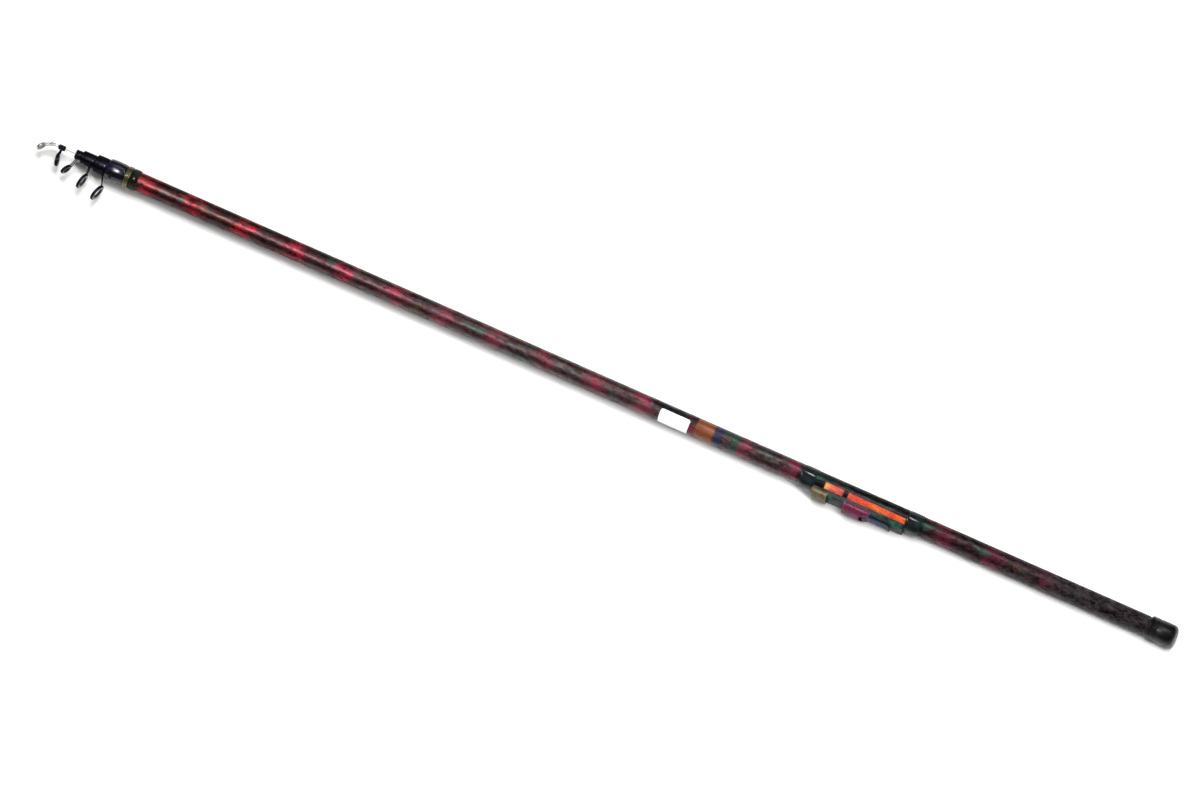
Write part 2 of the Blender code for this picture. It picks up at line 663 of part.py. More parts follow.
def build_butt_end(butt, looks):
    bush_start = BUTT_LENGTH - BUSH_LENGTH
    bush = tube_profile(bush_start, BUTT_LENGTH, BUSH_BORE + BUSH_WALL, BUSH_BORE + BUSH_WALL, BUSH_WALL)
    place("thread_bush", turned(bush), looks["aluminium"], butt)

    seal_axis = axis_empty("cap_seal_axis", butt, (SEAL_START, 0, 0))
    half = SEAL_THICKNESS / 2
    major = SHANK_RADIUS + GLUE_GAP + half
    circle = [2 * math.pi * i / 8 for i in range(8)]
    ring = [(half + half * math.cos(a), major + half * math.sin(a)) for a in circle]
    place("cap_seal", turned(ring), looks["rubber"], seal_axis)

    cap_axis = axis_empty("butt_cap_axis", seal_axis, (FLANGE_START - SEAL_START, 0, 0))
    flange_end = FLANGE_THICKNESS
    core_end = flange_end + CORE_LENGTH
    plug = [
        (-SHANK_LENGTH, 0), (-SHANK_LENGTH, SHANK_RADIUS - 0.6 * MM), (0.6 * MM - SHANK_LENGTH, SHANK_RADIUS),
        (0, SHANK_RADIUS), (0, FLANGE_RADIUS), (flange_end, FLANGE_RADIUS),
        (flange_end, CORE_RADIUS), (core_end, CORE_RADIUS), (core_end, 0),
    ]
    place("cap_plug", turned(plug, solid=True), looks["aluminium"], cap_axis)

    pad_end = -SHANK_LENGTH - GLUE_GAP
    pad_radius = SHANK_RADIUS - 0.2 * MM
    pad = [
        (pad_end - PAD_THICKNESS, 0), (pad_end - PAD_THICKNESS, pad_radius - 0.5 * MM),
        (0.5 * MM + pad_end - PAD_THICKNESS, pad_radius), (pad_end, pad_radius), (pad_end, 0),
    ]
    place("cap_pad", turned(pad, solid=True), looks["foam"], cap_axis)

    skirt_bore = FLANGE_RADIUS + GLUE_GAP
    step = flange_end + GLUE_GAP
    core_bore = CORE_RADIUS + GLUE_GAP
    end = CAP_END - FLANGE_START
    boot = [(0, skirt_bore), (step, skirt_bore), (step, core_bore), (core_end + GLUE_GAP, core_bore)]
    boot += [(core_end + GLUE_GAP, 0), (end, 0)]
    steps = 5
    for i in range(steps + 1):
        a = math.pi / 2 * i / steps
        boot.append((
            end - CAP_ROUNDING * (1 - math.cos(a)), CAP_RADIUS - CAP_ROUNDING * (1 - math.sin(a))
        ))
    boot += [(CAP_SKIRT_EDGE, CAP_RADIUS), (0, CAP_RADIUS - CAP_SKIRT_EDGE)]
    place("cap_boot", turned_cup(boot), looks["rubber"], cap_axis)


def turned_cup(profile):
    """Spin a cup's profile, whose outline meets the axis at both sides of its floor."""
    split = next(i for i, (_, radius) in enumerate(profile) if radius == 0)
    return turned(profile[split + 1:] + profile[:split + 1], solid=True)


def build_section(plan, index, butt, looks):
    """One hollow section with its whipping and guide. x = 0 is the section's front end."""
    name, length, front = plan["name"], plan["length"], plan["front_radius"]
    blank = turned(tube_profile(0, length, front, plan["base_radius"], plan["wall"]))
    section = place(f"{name}_blank", blank, looks["blank"], butt, (-plan["front"], 0, 0))

    sleeve_front = -GLUE_GAP
    sleeve_length = SLEEVE_LENGTHS[index]
    bore = front + GLUE_GAP
    outer = max(plan["stop_bore"] + SLEEVE_STOP, bore + SLEEVE_MIN_WALL)
    ring = (RING_SETBACKS[index], RING_HEIGHTS[index], RING_LEANS[index], RING_RADII[index])
    leg_seat = min(max(ring[0], 3 * MM), sleeve_length - 2 * MM)
    frame = guide_frame(bore, outer, sleeve_length, ring, LEG_RADIUS, leg_seat)
    number = index + 2
    place(f"guide_{number}_frame", frame, looks["frame"], section, (sleeve_front, 0, 0))
    insert = ring_insert(*ring, RING_INSERT_WALLS[index])
    place(f"guide_{number}_ring", insert, looks["ceramic"], section, (sleeve_front, 0, 0))

    start = sleeve_front + sleeve_length + GLUE_GAP
    end = start + WHIPPING_LENGTH
    bore = front + (plan["base_radius"] - front) * end / length + GLUE_GAP
    whipping = bulged_profile(start, end, bore, WHIPPING_WALL, 0.1 * MM, 4)
    place(f"{name}_whipping", turned(whipping), looks["lacquer"], section)


def tip_top_frame(ring):
    """Tube, two side wires and a brace wire that carry the tip-top's ring. x = 0 is the tube's front face."""
    bore = TIP_FRONT_RADIUS + TIP_TOP_GAP
    outer = bore + TIP_TOP_WALL
    tube = turned(tube_profile(0, TIP_TOP_TUBE_LENGTH, outer, outer, TIP_TOP_WALL), 12)
    parts = [ring_holder(*ring)]
    wire = TIP_TOP_LEG_RADIUS
    seat_radius = outer - wire * LEG_SINK
    out = math.radians(TIP_TOP_LEG_SEAT_TURN)
    level = (0, 0, 1)
    for side in (-1, 1):
        seat = Vector((
            TIP_TOP_TUBE_LENGTH / 2, -seat_radius * math.cos(out), side * seat_radius * math.sin(out)
        ))
        end = ring_point(*ring, side * TIP_TOP_LEG_RING_TURN)
        bow = side * TIP_TOP_RING_RADIUS * TIP_TOP_LEG_BOW_WIDTH
        control = Vector((-TIP_TOP_LEG_BOW_AHEAD, -outer, bow))
        parts.append(swept(curve_points(seat, control, end, 6), wire, level))
    seat = Vector((MM, -(bore + outer) / 2, 0))
    control = Vector((-TIP_TOP_BRACE_BOW_AHEAD, -outer, 0))
    brace = curve_points(seat, control, ring_point(*ring, 0), 4)
    parts.append(swept(brace, wire * TIP_TOP_BRACE_WIRE, level))
    return combined(tube, parts, "UNION")


def build_tip(butt, looks):
    """The solid tip section with its tip-top and sliding guide. x = 0 is the section's front end."""
    profile = [(0, 0), (0, TIP_FRONT_RADIUS), (TIP_LENGTH, TIP_BASE_RADIUS), (TIP_LENGTH, 0)]
    tip = place("tip_blank", turned(profile, solid=True), looks["tip"], butt, (-TIP_FRONT, 0, 0))

    ring = (-TIP_TOP_RING_AHEAD, TIP_TOP_RING_HEIGHT, TIP_TOP_RING_LEAN, TIP_TOP_RING_RADIUS)
    front = (-TIP_TOP_OVERHANG, 0, 0)
    place("tip_top_frame", tip_top_frame(ring), looks["chrome"], tip, front)
    place("tip_top_ring", ring_insert(*ring, TIP_TOP_INSERT_WALL), looks["ceramic"], tip, front)

    slider_front = TIP_TOP_TUBE_LENGTH - TIP_TOP_OVERHANG + GLUE_GAP
    slider = axis_empty("sliding_guide_axis", tip, (slider_front, 0, 0))
    ring = (SLIDER_RING_SETBACK, SLIDER_RING_HEIGHT, SLIDER_RING_LEAN, SLIDER_RING_RADIUS)
    outer = SLIDER_BORE_RADIUS + SLIDER_WALL
    frame = guide_frame(SLIDER_BORE_RADIUS, outer, SLIDER_LENGTH, ring, SLIDER_LEG_RADIUS, SLIDER_LENGTH / 2)
    place("sliding_guide_frame", frame, looks["frame"], slider)
    place("sliding_guide_ring", ring_insert(*ring, SLIDER_INSERT_WALL), looks["ceramic"], slider)


def build_rod():
    looks = {
        "blank": finish("marbled_lacquer", (0.09, 0.02, 0.03), 0.25),
        "tip": finish("tip_grey", (0.45, 0.45, 0.47), 0.35),
        "lacquer": finish("black_lacquer", (0.01, 0.01, 0.014), 0.12),
        "gold": finish("gold_band", (0.55, 0.5, 0.16), 0.3, 1.0),
        "label": finish("white_paper", (0.88, 0.88, 0.88), 0.6),
        "plate": finish("black_plate", (0.02, 0.03, 0.03), 0.35),
        "hood": finish("brown_hood", (0.2, 0.14, 0.08), 0.35),
        "slide": finish("crimson_hood", (0.35, 0.03, 0.1), 0.3),
        "lever": finish("dark_lever", (0.03, 0.06, 0.07), 0.3),
        "steel": finish("pin_steel", (0.6, 0.6, 0.62), 0.25, 1.0),
        "frame": finish("dark_frame", (0.05, 0.05, 0.07), 0.3, 0.8),
        "chrome": finish("bright_frame", (0.7, 0.7, 0.7), 0.15, 1.0),
        "ceramic": finish("ring_ceramic", (0.1, 0.1, 0.12), 0.15),
        "aluminium": finish("thread_aluminium", (0.6, 0.6, 0.6), 0.35, 1.0),
        "rubber": finish("black_rubber", (0.015, 0.015, 0.015), 0.6),
        "foam": finish("pad_foam", (0.05, 0.05, 0.05), 0.9),
    }
    axis = axis_empty("rod_axis", None, (AXIS_X, AXIS_Y, AXIS_Z))
    butt = build_butt(axis, looks)
    build_reel_seat(butt, looks)
    build_slide_hood(butt, looks)
    build_butt_end(butt, looks)
    for index, plan in enumerate(SECTIONS):
        build_section(plan, index, butt, looks)
    build_tip(butt, looks)


for old in list(bpy.data.objects):
    bpy.data.objects.remove(old)
build_rod()
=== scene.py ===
# Collapsed telescopic rod: lacquer, wound bands, guides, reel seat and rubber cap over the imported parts.
# x runs along the rod with the cap at +X, the guides and the reel seat point to -Y, +Z is up.
# The rod is in millimetres from the front face of its butt section and from its axis, the studio in metres.
from math import asin, ceil, copysign, cos, degrees, exp, pi, radians, sin, sqrt, tau

import bmesh
import bpy
from mathutils import Matrix, Vector


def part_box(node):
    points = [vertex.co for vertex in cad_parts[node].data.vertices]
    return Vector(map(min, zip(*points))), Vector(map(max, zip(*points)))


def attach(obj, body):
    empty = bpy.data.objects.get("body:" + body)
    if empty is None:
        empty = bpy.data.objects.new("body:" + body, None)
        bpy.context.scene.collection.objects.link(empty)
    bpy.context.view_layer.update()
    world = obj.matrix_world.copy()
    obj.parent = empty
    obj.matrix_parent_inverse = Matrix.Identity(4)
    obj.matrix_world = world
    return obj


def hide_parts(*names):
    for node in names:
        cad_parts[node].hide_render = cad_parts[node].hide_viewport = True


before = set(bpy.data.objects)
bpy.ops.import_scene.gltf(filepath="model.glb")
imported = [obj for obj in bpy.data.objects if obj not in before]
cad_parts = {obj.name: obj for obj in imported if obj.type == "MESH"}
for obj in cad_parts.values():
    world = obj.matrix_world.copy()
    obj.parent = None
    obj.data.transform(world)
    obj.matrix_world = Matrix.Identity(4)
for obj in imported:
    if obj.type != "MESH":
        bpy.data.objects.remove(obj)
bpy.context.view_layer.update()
scene = bpy.context.scene
mm = 0.001

buttLow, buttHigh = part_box("butt_blank")
buttFront = buttLow.x
axisY = (buttLow.y + buttHigh.y) / 2
axisZ = (buttLow.z + buttHigh.z) / 2
print("frame loaded, butt front at", round(buttFront, 4))


# Where a node starts and ends along the rod, and its radius
def span(node):
    low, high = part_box(node)
    return (low.x - buttFront) / mm, (high.x - buttFront) / mm, (high.z - low.z) / 2 / mm


def inRadians(angles):
    return [radians(angle) for angle in angles]


# Evenly spaced values from low to high, both of them included
def spread(low, high, steps):
    return [low + (high - low) * k / steps for k in range(steps + 1)]


# The same for an angle in degrees, given back in radians
def arc(low, high, steps):
    return inRadians(spread(low, high, steps))


# A point on the curve from start to end that bends towards a control point
def curve(start, control, end, t):
    return start * (1 - t) ** 2 + control * 2 * t * (1 - t) + end * t * t


def placed(name, data):
    made = bpy.data.objects.new(name, data)
    scene.collection.objects.link(made)
    return made


# Camera and studio

view = {
    "azimuth": 25.13,             # degrees round from the guide side
    "elevation": 70.0,            # degrees above the floor
    "distance": 24.0,
    "target": (0.0, -0.0023, 0.0125),
    "lens": 720.0,
    "sensor": 36.0,
    "clip": (0.05, 100),
}

studio = {
    "floorSize": 40.0,
    "floorColour": (0.93, 0.925, 0.915),
    "sky": (0.045, 0.045, 0.047),
    "sun": (22.8, 38.0, 3.4),     # even light: degrees towards +Y, spread in degrees, strength
    # panels that only shine on the gloss, name: (x, y, height, length along the rod, width, watts)
    "panels": {
        "panelFront": (-0.90, -0.34, 2.0, 0.34, 1.5, 12.5),
        "panelSecond": (-0.615, -0.30, 2.01, 0.25, 1.6, 0.8),
        "panelUpper": (-0.78, 1.7, 2.06, 0.9, 1.6, 5.5),
        "panelMiddle": (-0.19, -0.02, 2.02, 0.60, 1.7, 0.6),
        "panelRear": (0.33, 0.10, 2.03, 0.44, 1.8, 1.1),
        "panelTip": (-0.80, -0.36, 1.90, 0.12, 0.40, 16.0),
        "panelSeatFront": (-0.05, 0.70, 1.92, 0.12, 0.36, 5.0),
        "panelSeatRear": (0.06, 0.50, 1.94, 0.10, 0.36, 3.0),
    },
    # lamps that only light the ground and the paint, with no shine on the gloss
    "fills": {
        "fillMiddle": (-0.02, -0.50, 0.60, 0.3, 0.3, 2.4),
        "fillCentre": (-0.10, 0.18, 1.0, 0.3, 0.3, 2.5),
        "fillButt": (0.70, -0.07, 1.0, 0.3, 0.3, 7.6),
    },
    "wallDistance": 12.0,
    "wallHeights": (-0.1, 8.0),
    "wallSides": 48,
    "wallColour": (0.96, 0.96, 0.955),
}


def aimCamera():
    turn = radians(view["azimuth"])
    rise = radians(view["elevation"])
    back = Vector((sin(turn) * cos(rise), -cos(turn) * cos(rise), sin(rise)))
    data = bpy.data.cameras.new("camera")
    data.lens = view["lens"]
    data.sensor_width = view["sensor"]
    data.clip_start, data.clip_end = view["clip"]
    camera = placed("camera", data)
    camera.location = Vector(view["target"]) + back * view["distance"]
    camera.rotation_mode = "QUATERNION"
    camera.rotation_quaternion = (-back).to_track_quat("-Z", "Y")
    scene.camera = camera


def lightStudio():
    world = bpy.data.worlds.new("studio")
    world.use_nodes = True
    world.node_tree.nodes["Background"].inputs["Color"].default_value = (*studio["sky"], 1)
    scene.world = world

    turn, spread, strength = studio["sun"]
    data = bpy.data.lights.new("sun", "SUN")
    data.energy = strength
    data.angle = radians(spread)
    sun = placed("sun", data)
    sun.rotation_euler = (-radians(turn), 0, 0)
    sun.visible_glossy = False

    for kind in ("panels", "fills"):
        for name, (x, y, height, length, width, watts) in studio[kind].items():
            data = bpy.data.lights.new(name, "AREA")
            data.shape = "RECTANGLE"
            data.size = length
            data.size_y = width
            data.energy = watts
            panel = placed(name, data)
            panel.location = (x, y, height)
            panel.visible_camera = False
            panel.visible_glossy = kind == "panels"
            panel.visible_diffuse = kind == "fills"
    scene.view_settings.view_transform = "Standard"
    scene.view_settings.look = "None"


aimCamera()
lightStudio()
print("camera and lights ready")


# Shader building

# One output socket of a material's nodes. Sums on it add Math nodes.
class Wire:
    def __init__(self, finish, socket):
        self.finish = finish
        self.socket = socket

    def sum(self, kind, first, second, clamp=False):
        return self.finish.node("Math", {"operation": kind, "use_clamp": clamp}, {0: first, 1: second})

    def __add__(self, other):
        return self.sum("ADD", self, other)

    def __sub__(self, other):
        return self.sum("SUBTRACT", self, other)

    def __rsub__(self, other):
        return self.sum("SUBTRACT", other, self)

    def __mul__(self, other):
        return self.sum("MULTIPLY", self, other)

    def __truediv__(self, other):
        return self.sum("DIVIDE", self, other)

    def __rtruediv__(self, other):
        return self.sum("DIVIDE", other, self)

    __radd__ = __add__
    __rmul__ = __mul__

    def waved(self):                  # 1 at whole numbers, -1 half way between
        return self.finish.node("Math", {"operation": "COSINE"}, {0: self * tau})

    def clear(self):                  # kept between 0 and 1
        return self.sum("ADD", self, 0.0, clamp=True)

    def ease(self, low, high):        # 0 at low, 1 at high, soft between
        values = {"Value": self, "From Min": low, "From Max": high}
        return self.finish.node("MapRange", {"interpolation_type": "SMOOTHSTEP"}, values)

    def between(self, low, high, soft):
        return self.ease(low - soft, low + soft) * (1 - self.ease(high - soft, high + soft))


sockets = {
    "colour": "Base Color", "roughness": "Roughness", "metal": "Metallic", "coat": "Coat Weight",
    "coatRoughness": "Coat Roughness", "coatIor": "Coat IOR", "gloss": "Specular IOR Level",
    "edgeTint": "Specular Tint", "normal": "Normal", "glow": "Emission Color",
    "glowStrength": "Emission Strength",
}


# A material and the nodes that shade it
class Finish:
    def __init__(self, name, **looks):
        self.material = bpy.data.materials.new(name)
        self.material.use_nodes = True
        self.tree = self.material.node_tree
        self.shader = self.tree.nodes["Principled BSDF"]
        self.place = self.node("TexCoord", output=3)
        self.set(**looks)

    # A plain value is set on the shader's socket, a wire is linked to it
    def set(self, **looks):
        for key, value in looks.items():
            self.feed(self.shader.inputs[sockets[key]], value)
        return self

    def feed(self, socket, value):
        if isinstance(value, Wire):
            self.tree.links.new(value.socket, socket)
        elif socket.type == "RGBA":
            socket.default_value = (*value, 1)
        else:
            socket.default_value = value

    def node(self, kind, settings=None, values=None, output=0):
        made = self.tree.nodes.new("ShaderNode" + kind)
        for key, value in (settings or {}).items():
            if key == "stops":
                ramp = made.color_ramp
                while len(ramp.elements) < len(value):
                    ramp.elements.new(0.5)
                for element, (place, colour) in zip(ramp.elements, value):
                    element.position = place
                    element.color = (*colour, 1)
            else:
                setattr(made, key, value)
        for key, value in (values or {}).items():
            self.feed(made.inputs[key], value)
        return Wire(self, made.outputs[output])

    # Noise over the piece. A scale of three numbers stretches it.
    def noise(self, scale, detail=3.0, roughness=0.5, distortion=0.0):
        place = self.place
        if isinstance(scale, tuple):
            place = self.node("VectorMath", {"operation": "MULTIPLY"}, {0: place, 1: scale})
            scale = 1.0
        values = {"Vector": place, "Scale": scale, "Detail": detail, "Roughness": roughness}
        return self.node("TexNoise", values={**values, "Distortion": distortion})

    def cells(self, scale):
        return self.node("TexVoronoi", values={"Vector": self.place, "Scale": scale})

    def mix(self, share, first, second):
        return self.node("Mix", {"data_type": "RGBA"}, {0: share, 6: first, 7: second}, output=2)

    def ramp(self, share, stops):
        return self.node("ValToRGB", {"stops": stops}, {"Fac": share})

    def bump(self, height, depth, strength):
        return self.node("Bump", values={"Height": height, "Distance": depth * mm, "Strength": strength})

    def corners(self, low, high):     # 1 on sharp outer corners
        return self.node("NewGeometry", output=7).ease(low, high)

    # Distance along the rod, angle from the guide side and distance from the axis
    def aroundAxis(self):
        parts = self.node("SeparateXYZ", values={0: self.place}).socket.node.outputs
        x, y, z = [Wire(self, part) for part in parts]
        out = axisY - y
        up = z - axisZ
        angle = self.node("Math", {"operation": "ARCTAN2"}, {0: up, 1: out})
        radius = self.node("Math", {"operation": "SQRT"}, {0: out * out + up * up})
        return (x - buttFront) / mm, angle, radius / mm

    # Fine scratches and dust that break up a gloss
    def scuffs(self, scale=1.0):
        scratches = self.noise((90 * scale, 900 * scale, 900 * scale), 4.0, 0.7)
        dust = self.noise(2600 * scale, 2.0, 0.6)
        return scratches.ease(0.56, 0.72) * 0.6 + dust.ease(0.6, 0.75) * 0.4


# Mesh building

class Shell:
    def __init__(self, points=(), faces=()):
        self.points = list(points)
        self.faces = [list(face) for face in faces]

    def add(self, other):
        start = len(self.points)
        self.points += other.points
        self.faces += [[start + i for i in face] for face in other.faces]

    def moved(self, matrix):
        return Shell([matrix @ point for point in self.points], self.faces)

    def ring(self, points):
        start = len(self.points)
        self.points += points
        return range(start, len(self.points))

    # Quads between two rings, or a fan where one of them is a single point. Split makes triangles of them.
    def bridge(self, near, far, split=False):
        count = max(len(near), len(far))
        for k in range(count):
            m = (k + 1) % count
            corners = [near[k % len(near)], near[m % len(near)], far[m % len(far)], far[k % len(far)]]
            face = list(dict.fromkeys(corners))
            self.faces += [face[:3], [face[0], *face[2:]]] if split else [face]


def polar(x, radius, angle):          # the angle runs round from the guide side
    return Vector((x, -radius * cos(angle), radius * sin(angle)))


# Spin (x, radius) points about the rod's axis. A loop closes on itself, otherwise both ends lie on the axis.
def turned(profile, sides=96, loop=True, shape=None):
    shell = Shell()
    rows = []
    around = arc(0, 360, sides)[:-1]
    for x, radius in profile:
        rows.append(shell.ring([
            polar(x, shape(x, radius, angle) if shape and radius > 0 else radius, angle)
            for angle in (around if radius > 0 else [0])
        ]))
    pairs = list(zip(rows, rows[1:]))
    if loop:
        pairs.append((rows[-1], rows[0]))
    for near, far in pairs:
        shell.bridge(near, far)
    return shell


# Round off a profile's corners. Each point is (x, radius, rounding).
def rounded(points, steps=4):
    made = []
    for i, (x, radius, rounding) in enumerate(points):
        if not rounding:
            made.append((x, radius))
            continue
        here = Vector((x, radius))
        before = Vector(points[i - 1][:2]) - here
        after = Vector(points[(i + 1) % len(points)][:2]) - here
        start = here + before.normalized() * rounding
        end = here + after.normalized() * rounding
        made += [tuple(curve(start, here, end, t)) for t in spread(0, 1, steps)]
    return made


# Extra points along the straight stretches of a profile, so that no face is very long
def divided(profile, longest):
    made = []
    for (x, radius), (nextX, nextRadius) in zip(profile, profile[1:] + profile[:1]):
        steps = max(1, ceil(abs(nextX - x) / longest))
        made += list(zip(spread(x, nextX, steps), spread(radius, nextRadius, steps)))[:-1]
    return made


# Skin a row of like outlines. Each station is (x, [(z, h), ...]), or (z, [(x, h), ...]) where it runs across
# the rod. h is the height over the axis on the guide side.
def lofted(stations, split=False, across=False):
    shell = Shell()
    rings = []
    for place, outline in stations:
        rings.append(shell.ring([Vector((a, -h, place) if across else (place, -h, a)) for a, h in outline]))
    for near, far in zip(rings, rings[1:]):
        shell.bridge(near, far, split)
    shell.faces += [list(rings[0]), list(rings[-1])]
    return shell


def extruded(outline, start, end):
    return lofted([(start, outline), (end, outline)])


# Move an outline's points inwards
def inset(outline, distance):
    count = len(outline)
    area = sum(outline[i - 1][0] * outline[i][1] - outline[i][0] * outline[i - 1][1] for i in range(count))
    sign = 1 if area > 0 else -1
    made = []
    for i, here in enumerate(outline):
        here = Vector(here)
        before = (here - Vector(outline[i - 1])).normalized()
        after = (Vector(outline[(i + 1) % count]) - here).normalized()
        normal = Vector((-(before.y + after.y), before.x + after.x)).normalized() * sign
        lean = max(0.5, normal.dot(Vector((-before.y, before.x)) * sign))
        made.append(tuple(here + normal * (distance / lean)))
    return made


# A prism whose end edges are rounded
def softPrism(outline, start, end, edge, steps=4, across=False):
    stations = []
    for turn in arc(0, 90, steps):
        stations.append((start + edge * (1 - cos(turn)), inset(outline, edge * (1 - sin(turn)))))
    stations += [(end - (place - start), points) for place, points in stations[::-1]]
    return lofted(stations, across=across)


# A wire through points, with a radius at each, closed by a low dome at both ends
def swept(path, radii, sides=16):
    shell = Shell()
    rows = []
    side = None
    last = len(path) - 1
    for i, point in enumerate(path):
        ahead = (path[min(i + 1, last)] - path[max(i - 1, 0)]).normalized()
        side = ahead.orthogonal() if side is None else side
        side = (side - ahead * side.dot(ahead)).normalized()
        other = ahead.cross(side)
        rows.append(shell.ring([
            point + (side * cos(turn) + other * sin(turn)) * radii[i]
            for turn in arc(0, 360, sides)[:-1]
        ]))
    for near, far in zip(rows, rows[1:]):
        shell.bridge(near, far)
    for row, point, inward in ((rows[0], path[0], path[1]), (rows[-1], path[-1], path[-2])):
        shell.bridge(row, shell.ring([point + (point - inward).normalized() * radii[0] * 0.4]))
    return shell


# A bent wire, thicker where it is brazed on at each end
def brazedWire(start, control, end, radius, foot, head=0.5, steps=26):
    path, radii = [], []
    for t in spread(0, 1, steps):
        path.append(curve(start, control, end, t))
        radii.append(radius * (1 + foot * exp(-t / 0.05) + head * exp(-(1 - t) / 0.05)))
    return swept(path, radii)


# A round pin across the rod, through (x, h)
def pinned(x, h, radius, halfLength, dome=0.0):
    near = [(-halfLength - dome * cos(turn), radius * sin(turn)) for turn in arc(0, 90, 5)]
    far = [(-away, reach) for away, reach in near[::-1]]
    shell = turned(near + far, 32, loop=False)
    return shell.moved(Matrix.Translation((x, -h, 0)) @ Matrix.Rotation(radians(-90), 4, "Y"))


# The mesh of a shell in metres, moved to the rod's place or left at the origin
def meshOf(name, shell, origin=(0, 0, 0)):
    mesh = bpy.data.meshes.new(name)
    mesh.from_pydata([tuple(point * mm) for point in shell.points], [], shell.faces)
    bm = bmesh.new()
    bm.from_mesh(mesh)
    bmesh.ops.remove_doubles(bm, verts=bm.verts, dist=1e-6)
    bmesh.ops.dissolve_degenerate(bm, edges=bm.edges, dist=1e-7)
    bmesh.ops.recalc_face_normals(bm, faces=bm.faces)
    bmesh.ops.translate(bm, verts=bm.verts, vec=origin)
    bm.to_mesh(mesh)
    bm.free()
    return mesh


# Cut shells out of a shell, or join them to it
def worked(shell, others, operation="DIFFERENCE"):
    base, *tools = [placed("scratch", meshOf("scratch", each)) for each in (shell, *others)]
    for tool in tools:
        step = base.modifiers.new("step", "BOOLEAN")
        step.operation = operation
        step.solver = "EXACT"
        step.object = tool
    shaped = base.evaluated_get(bpy.context.evaluated_depsgraph_get())
    mesh = shaped.to_mesh()
    made = Shell([vertex.co / mm for vertex in mesh.vertices], [face.vertices for face in mesh.polygons])
    shaped.to_mesh_clear()
    for spare in (base, *tools):
        mesh = spare.data
        bpy.data.objects.remove(spare)
        bpy.data.meshes.remove(mesh)
    return made


# Make a named piece of a shell. It moves with the body and stands for the node.
def makePiece(name, shell, finish, body, node, sharp=40):
    mesh = meshOf(name, shell, (buttFront, axisY, axisZ))
    mesh.materials.append(finishes[finish].material)
    mesh.shade_smooth()
    mesh.set_sharp_from_angle(angle=radians(sharp))
    piece = placed(name, mesh)
    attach(piece, body)
    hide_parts(node)


# Finishes

marbling = {
    "pitch": 55.1,                # spacing of the patches of flake
    "start": 43,                  # middle of the first patch
    "wander": 0.42,               # how far a patch strays, in pitches
    "ragged": 6.5,                # how much the veins tear its edge
    "edge": (0.2, 1.6),           # where a patch begins and where it is full
    "gripFade": (960, 1090),      # the marbling dies out here and the satin grip paint begins
    "colourRun": 1200,            # length of the rod that the colours below are spread over
    # place along the rod in shares of that length, and the patch colour there
    "patches": (
        (0.00, (0.50, 0.022, 0.032)), (0.12, (0.44, 0.014, 0.024)), (0.20, (0.42, 0.012, 0.060)),
        (0.30, (0.22, 0.014, 0.046)), (0.42, (0.20, 0.011, 0.030)), (0.52, (0.24, 0.008, 0.045)),
        (0.66, (0.20, 0.008, 0.042)), (0.82, (0.16, 0.007, 0.040)),
    ),
    "patchShade": (0.03, 0.004, 0.006),
    "wisps": (
        (0.00, (0.13, 0.008, 0.007)), (0.25, (0.080, 0.010, 0.012)), (0.60, (0.052, 0.014, 0.014)),
        (0.85, (0.040, 0.010, 0.014)),
    ),
    "ground": (0.010, 0.005, 0.006),
    "smoke": (0.060, 0.030, 0.036),
    # painted sheen: a pale colour mixed in over the middle of the rod stands in for its hazy reflection
    "paintedSheen": (0.120, 0.078, 0.084),   # pale cast over the middle of the rod
    "paintedSheenRise": (180, 430),
    "paintedSheenFall": (680, 900),
    "tints": (
        (0.00, (0.014, 0.080, 0.056)), (0.30, (0.016, 0.040, 0.034)), (0.42, (0.012, 0.010, 0.010)),
        (0.54, (0.060, 0.020, 0.060)), (0.64, (0.016, 0.010, 0.008)), (0.78, (0.075, 0.058, 0.016)),
        (1.00, (0.012, 0.040, 0.070)),
    ),
    "grip": ((0.0008, 0.0006, 0.0008), (0.021, 0.0165, 0.018)),
    "worn": (0.35, 0.33, 0.33),
    "coatRise": (40, 440),        # the lacquer is thickest between this rise and the fall
    "coatFall": (580, 1060),
    "wrapPitch": 1.3,             # spiral of the cloth under the lacquer
}

decals = {
    # plain rings behind the label: (start, end, colour)
    "rings": (
        (652, 671, (0.17, 0.050, 0.016)), (673.5, 679.5, (0.010, 0.020, 0.055)),
        (692, 699, (0.008, 0.038, 0.022)),
    ),
    "ringWobble": 0.8,
    "aboveLabel": (603, 652, (0.003, 0.003, 0.005)),  # black ground above the label
    "aboveTurn": (82, 165),       # degrees round from the guide side, as all the turns here
    "dark": (765, 903, (0.002, 0.004, 0.005), (0.006, 0.040, 0.032)),  # ground under the seat and its tint
    # stripes between the seat's bindings, on the upper side: (start, end)
    "stripes": ((795, 815), (820.5, 883.7)),
    "stripeTurn": (46, 85),
    "stripeFade": (92, 70),       # they are faint at the first of these turns and full at the second
    "stripeSlant": 9,             # degrees they wander towards the guide side along their length
    "stripeColours": (
        (0.0, (0.80, 0.42, 0.10)), (0.08, (0.72, 0.15, 0.09)), (0.22, (0.62, 0.075, 0.055)),
        (0.45, (0.66, 0.055, 0.022)), (0.65, (0.78, 0.15, 0.025)), (0.85, (0.66, 0.065, 0.015)),
        (1.0, (0.72, 0.12, 0.018)),
    ),
    "stripeVein": (0.36, 0.012, 0.008),
    "stripeCrack": (0.20, 0.008, 0.008),
    "stripeFleck": (0.80, 0.36, 0.20),
    "under": (30, (0.16, 0.008, 0.006)),  # deep red from this turn up to the stripes
}


# Waves of a spiral round the rod
def spiral(x, angle, pitch):
    return (x / pitch - angle / tau).waved()


